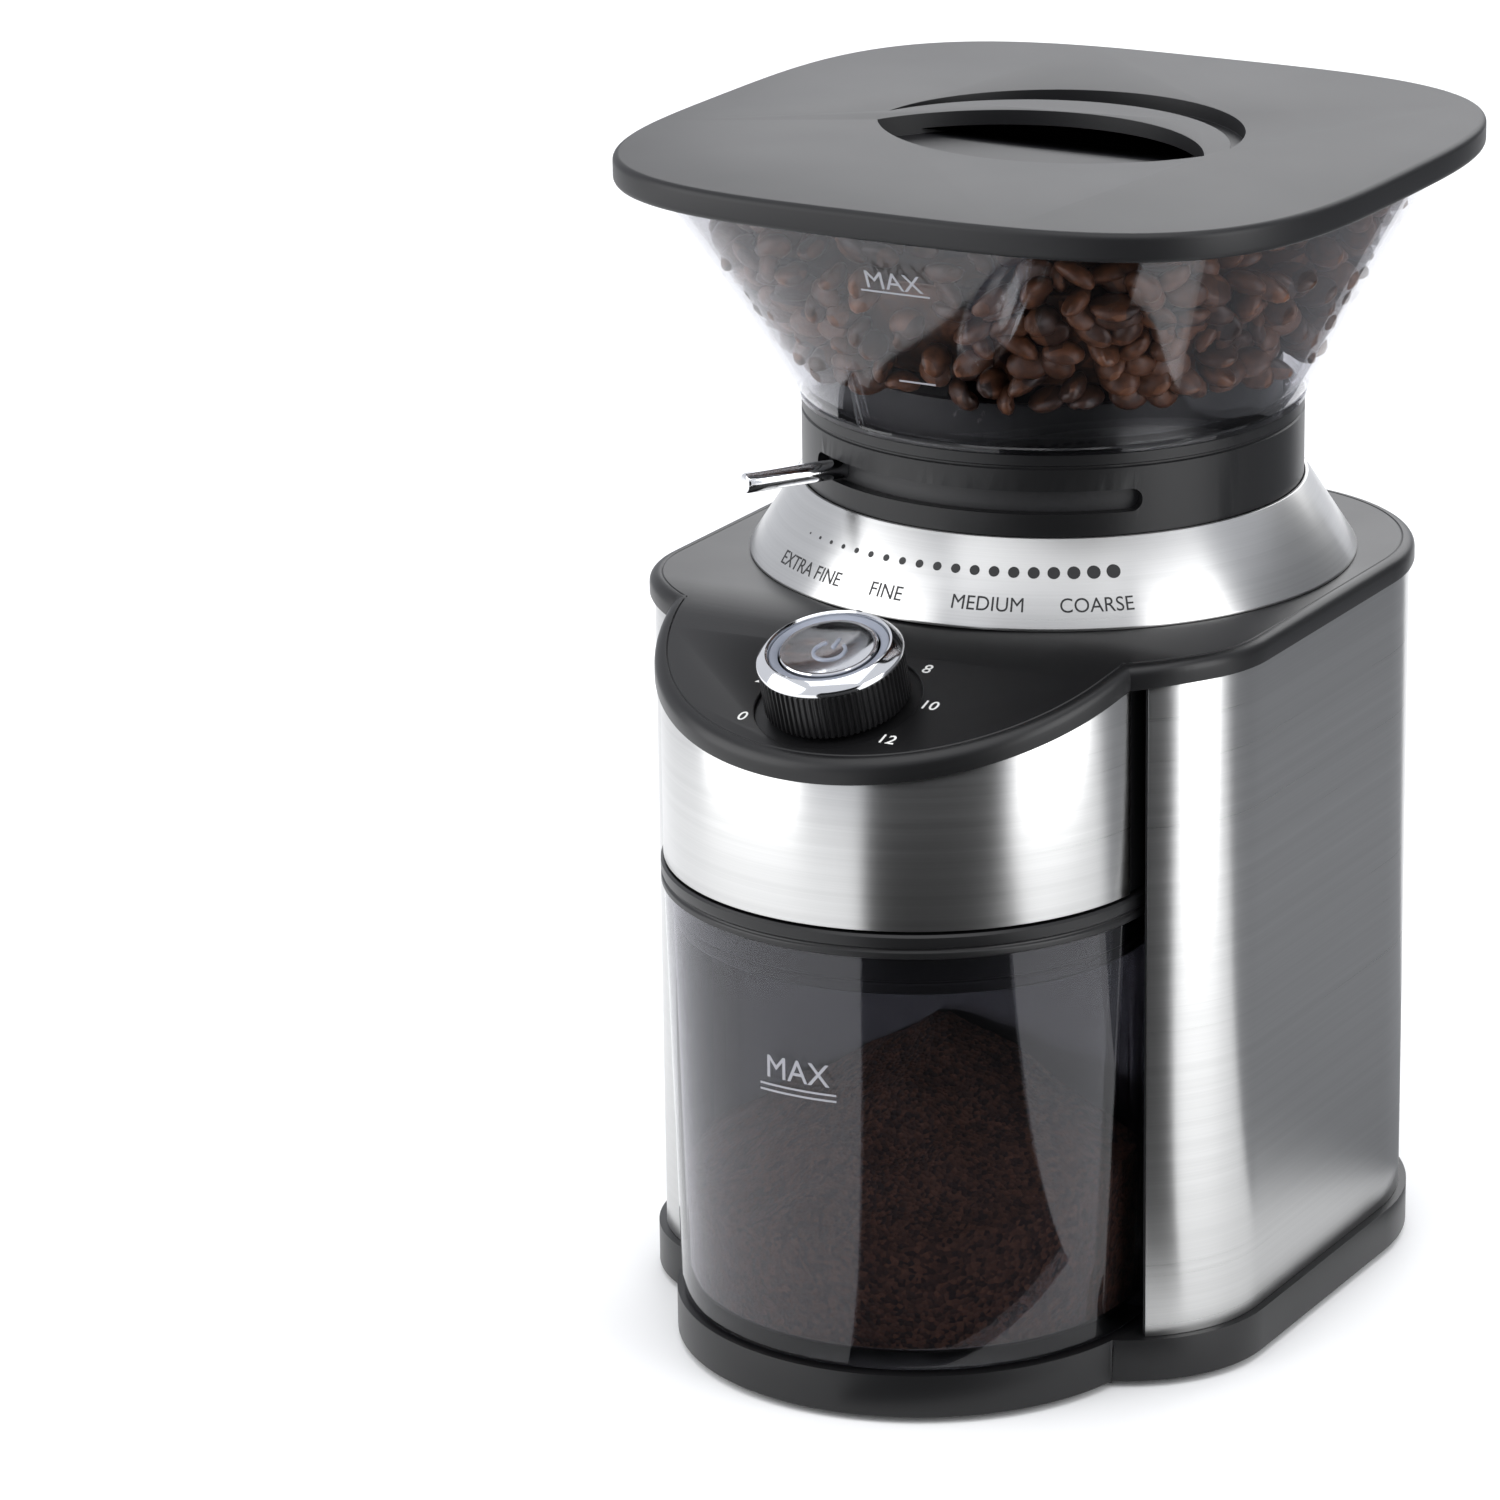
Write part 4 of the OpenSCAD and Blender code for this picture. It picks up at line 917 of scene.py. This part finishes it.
add(grounds, "ShaderNodeOutputMaterial", {"Surface": shade.outputs[0]})

pile = turned([(2, 15.7), (50.5, 15.7), (52.0, 16.6), (53.0, 34)]
              + [(53.0 - i * 1.3, 40) for i in range(40)] + [(0.4, 40)], y=drum_y, segments=150)
peak, slip = 78, 0.62                              # its height, and how fast loose grounds fall away
for vert in pile.data.vertices:
    if vert.co.z > 39 * mm:
        x, y = vert.co.x / mm, (vert.co.y - drum_y) / mm
        far = math.hypot((x - 6) * (1.0 if x < 6 else 0.85), y - 8)
        ripple = (2.2 * noise.noise(Vector((x * 0.09, y * 0.09, 3)))
                  + 0.5 * noise.noise(Vector((x * 0.5, y * 0.5, 5))))
        vert.co.z = (peak - slip * far - 3.5 * math.exp(-far / 6) + ripple) * mm
bpy.ops.object.mode_set(mode="EDIT")
bpy.ops.mesh.select_all(action="SELECT")
bpy.ops.mesh.fill_holes(sides=0)
bpy.ops.object.mode_set(mode="OBJECT")
flat_back(pile, 59.0)
finished(pile, "ground_coffee_heap", "container", grounds, "smoky_clear", smooth=60)

# ---- Timer knob -------------------------------------------------------------------------
# Black ribbed grip, a bright chromed bevel on top and a matt grey ring inside it. It turns
# on the sloping deck, so its pieces are drawn level and then tipped with the slope.
def tipped(piece):
    """Moves a piece drawn at the origin to the dial."""
    piece.data.transform(dial)


grip = turned([(15.6, 0.35), (16.05, 0.8), (16.05, 10.6), (15.7, 11.0), (12, 11.0), (12, 4),
               (6, 4), (6, 0.35), (15.6, 0.35)], y=0.0, segments=288)
for vert in grip.data.vertices:
    r = math.hypot(vert.co.x, vert.co.y)
    rib = round(math.degrees(math.atan2(vert.co.y, vert.co.x)) / 1.25) % 4
    if r > 15 * mm and rib in (1, 2):              # a groove on two of every four segments
        vert.co.x *= 1 - 0.5 * mm / r
        vert.co.y *= 1 - 0.5 * mm / r
tipped(grip)
finished(grip, "knob_grip", "knob", black_abs, "black_abs", "knob", smooth=25)

bezel = turned([(15.9, 11.05), (16.2, 11.3), (16.2, 11.9), (15.9, 12.3), (14.3, 13.9),
                (13.9, 14.1), (13.4, 13.9), (13.2, 13.2), (13.2, 11.05), (15.9, 11.05)],
               y=0.0, segments=160)
tipped(bezel)
finished(bezel, "knob_bezel", "knob", chrome, "chrome", smooth=45)

# Grey metallic paint, duller than the chrome on both sides of it.
trim_grey = coated("grey_painted_abs", "#8f94a0", 900.0, 0.35, 0.5, metal=0.3)
ring = turned([(13.15, 12.2), (13.15, 13.3), (12.9, 13.5), (11.5, 13.2), (11.25, 13.0), (11.25, 12.2),
               (13.15, 12.2)], y=0.0, segments=144)
tipped(ring)
finished(ring, "knob_ring", "knob", trim_grey, "trim_grey", "knob_trim", smooth=40)

pointer = bar(1.1, 2.6, 0.3)
pointer.data.transform(Matrix.Translation((0, 15.0 * mm, 13.25 * mm))
                       @ Matrix.Rotation(math.radians(-45), 4, "X"))
soften(pointer, 0.12, 2)
tipped(pointer)
finished(pointer, "knob_pointer", "knob", black_abs, "black_abs", smooth=None)

# ---- Start button -----------------------------------------------------------------------
# Chromed button with a dished face in the middle of the knob. A power sign stands up on it.
dish_r, dish_z = 43.5, 56                          # a ball this round hollows the face out
rings = [10.9 - i * 0.6 for i in range(1, 18)]
face = [(r, dish_z - math.sqrt(dish_r ** 2 - r ** 2)) for r in rings]
button = turned([(10.85, 9.2), (10.85, 13.5), (10.6, 13.75)] + face, y=0.0, segments=128)
close_ends(button)
tipped(button)
finished(button, "start_button_cap", "start_button", chrome, "chrome", "start_button", smooth=40)

sign_z = 12.72
bpy.ops.mesh.primitive_plane_add(size=1)
sign = bpy.context.object
sign.data.transform(Matrix.Rotation(math.radians(125), 4, "Z")
                    @ Matrix.Translation((3.5 * mm, 0, sign_z * mm)) @ upright
                    @ Matrix.Diagonal((0.75 * mm, 0.5 * mm, 1, 1)))
bpy.ops.object.mode_set(mode="EDIT")
bpy.ops.mesh.select_all(action="SELECT")
bpy.ops.mesh.spin(steps=40, angle=math.radians(-290), center=(0, 0, sign_z * mm),
                  axis=(0, 0, 1))
bpy.ops.mesh.select_all(action="SELECT")
bpy.ops.mesh.fill_holes(sides=4)
face_out()
stroke = bar(0.75, 3.4, 0.5)
stroke.data.transform(Matrix.Translation((0, 3.2 * mm, sign_z * mm)))
join_solid(sign, stroke, "UNION")
soften(sign, 0.1, 2, 50)
tipped(sign)
finished(sign, "power_sign", "start_button", trim_grey, "trim_grey", smooth=45)

# ---- Dial numerals ----------------------------------------------------------------------
# White pad-printed numerals round the knob, the number of cups, upright to the user.
white_ink = coated("white_pad_ink", "#e9e9e6", 1500.0, 0.45, 0.65)
numeral_r, first_numeral = 21, 58                  # millimetres, and degrees from the front
for i, cups in enumerate(("0", "2", "4", "6", "8", "10", "12")):
    numeral = lettering(cups, 3.1, heavy=0.03)
    a = math.radians(-first_numeral - i * (360 - 2 * first_numeral) / 6)
    numeral.data.transform(dial @ Matrix.Translation((numeral_r * mm * math.sin(a),
                                                      -numeral_r * mm * math.cos(a), 0.02 * mm)))
    finished(numeral, "dial_numeral_" + cups, "housing", white_ink, "black_abs", smooth=None)

# ---- Everything inside ------------------------------------------------------------------
# The drive, the burrs, the motor, the board, the screws and the plain mouldings behind the
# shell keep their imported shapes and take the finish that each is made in.
def shop_finish(name, dark, light, grain_mm, smooth_to_rough, metal=0.0, relief=0.05):
    """A material whose colour, gloss and surface vary at the size of its own grain."""
    material = bare(name)
    at = add(material, "ShaderNodeTexCoord").outputs["Object"]
    fine = add(material, "ShaderNodeTexNoise", {"Vector": at, "Scale": 1 / (grain_mm * mm),
                                                "Detail": 3.0})
    tone = add(material, "ShaderNodeMix", {"Factor": fine.outputs["Fac"], "A": colour(dark),
                                           "B": colour(light)}, data_type="RGBA")
    rough = spread(material, fine.outputs["Fac"], *smooth_to_rough)
    bump = add(material, "ShaderNodeBump", {"Height": fine.outputs["Fac"], "Strength": 0.25,
                                            "Distance": relief * mm})
    shade = add(material, "ShaderNodeBsdfPrincipled",
                {"Base Color": tone.outputs[2], "Metallic": metal, "Roughness": rough,
                 "Normal": bump.outputs["Normal"]})
    add(material, "ShaderNodeOutputMaterial", {"Surface": shade.outputs[0]})
    return material


finishes = {
    "black_abs": black_abs,
    "black_pp": shop_finish("black_polypropylene", "#161617", "#222224", 0.9, (0.42, 0.58)),
    "rubber": shop_finish("black_nitrile_rubber", "#141414", "#1f1f20", 0.5, (0.75, 0.9)),
    "steel_sheet": steel,
    "machined_steel": shop_finish("turned_tool_steel", "#8d9094", "#b3b6ba", 0.3, (0.22, 0.38), 1.0, 0.01),
    "plated_steel": shop_finish("zinc_plated_steel", "#a9abad", "#c6c8ca", 0.8, (0.25, 0.4), 1.0, 0.01),
    "aluminium": shop_finish("die_cast_aluminium", "#9c9ea0", "#b9bbbd", 1.2, (0.4, 0.55), 1.0, 0.06),
    "bronze": shop_finish("sintered_bronze", "#7d5a33", "#a67b49", 0.2, (0.4, 0.55), 1.0, 0.02),
    "motor_steel": shop_finish("pressed_motor_steel", "#8a8c8f", "#a5a7aa", 1.5, (0.3, 0.45), 1.0, 0.01),
    "magnet": shop_finish("sintered_ferrite", "#2e2b2a", "#403c3a", 0.4, (0.6, 0.75)),
    "core": shop_finish("lacquered_winding_copper", "#5d3a22", "#9a6238", 0.6, (0.3, 0.45), 0.7, 0.15),
    "copper": shop_finish("drawn_copper", "#9a5f3a", "#c98559", 0.5, (0.2, 0.35), 1.0, 0.01),
    "board": shop_finish("green_solder_mask", "#12452a", "#1f6b3f", 2.5, (0.3, 0.42)),
    "electronics": shop_finish("black_moulded_epoxy", "#1b1c1e", "#303236", 0.7, (0.45, 0.6)),
    "brush_block": shop_finish("brown_phenolic", "#3d2919", "#5c4029", 0.8, (0.45, 0.6)),
    "gear_nylon": shop_finish("natural_nylon", "#c4beac", "#d8d3c3", 2.0, (0.4, 0.55)),
    "smoky_clear": hopper_clear,
    "chrome": chrome,
    "trim_grey": trim_grey,
    "switch_cream": shop_finish("cream_switch_nylon", "#cfc8b8", "#ddd7c8", 1.0, (0.4, 0.5)),
}
slot_of = {part["node"]: part["material_slot"] for part in frame["record"]["subparts"]}
for name, part in frame["nodes"].items():
    part.data.materials.clear()
    part.data.materials.append(finishes[slot_of[name]])
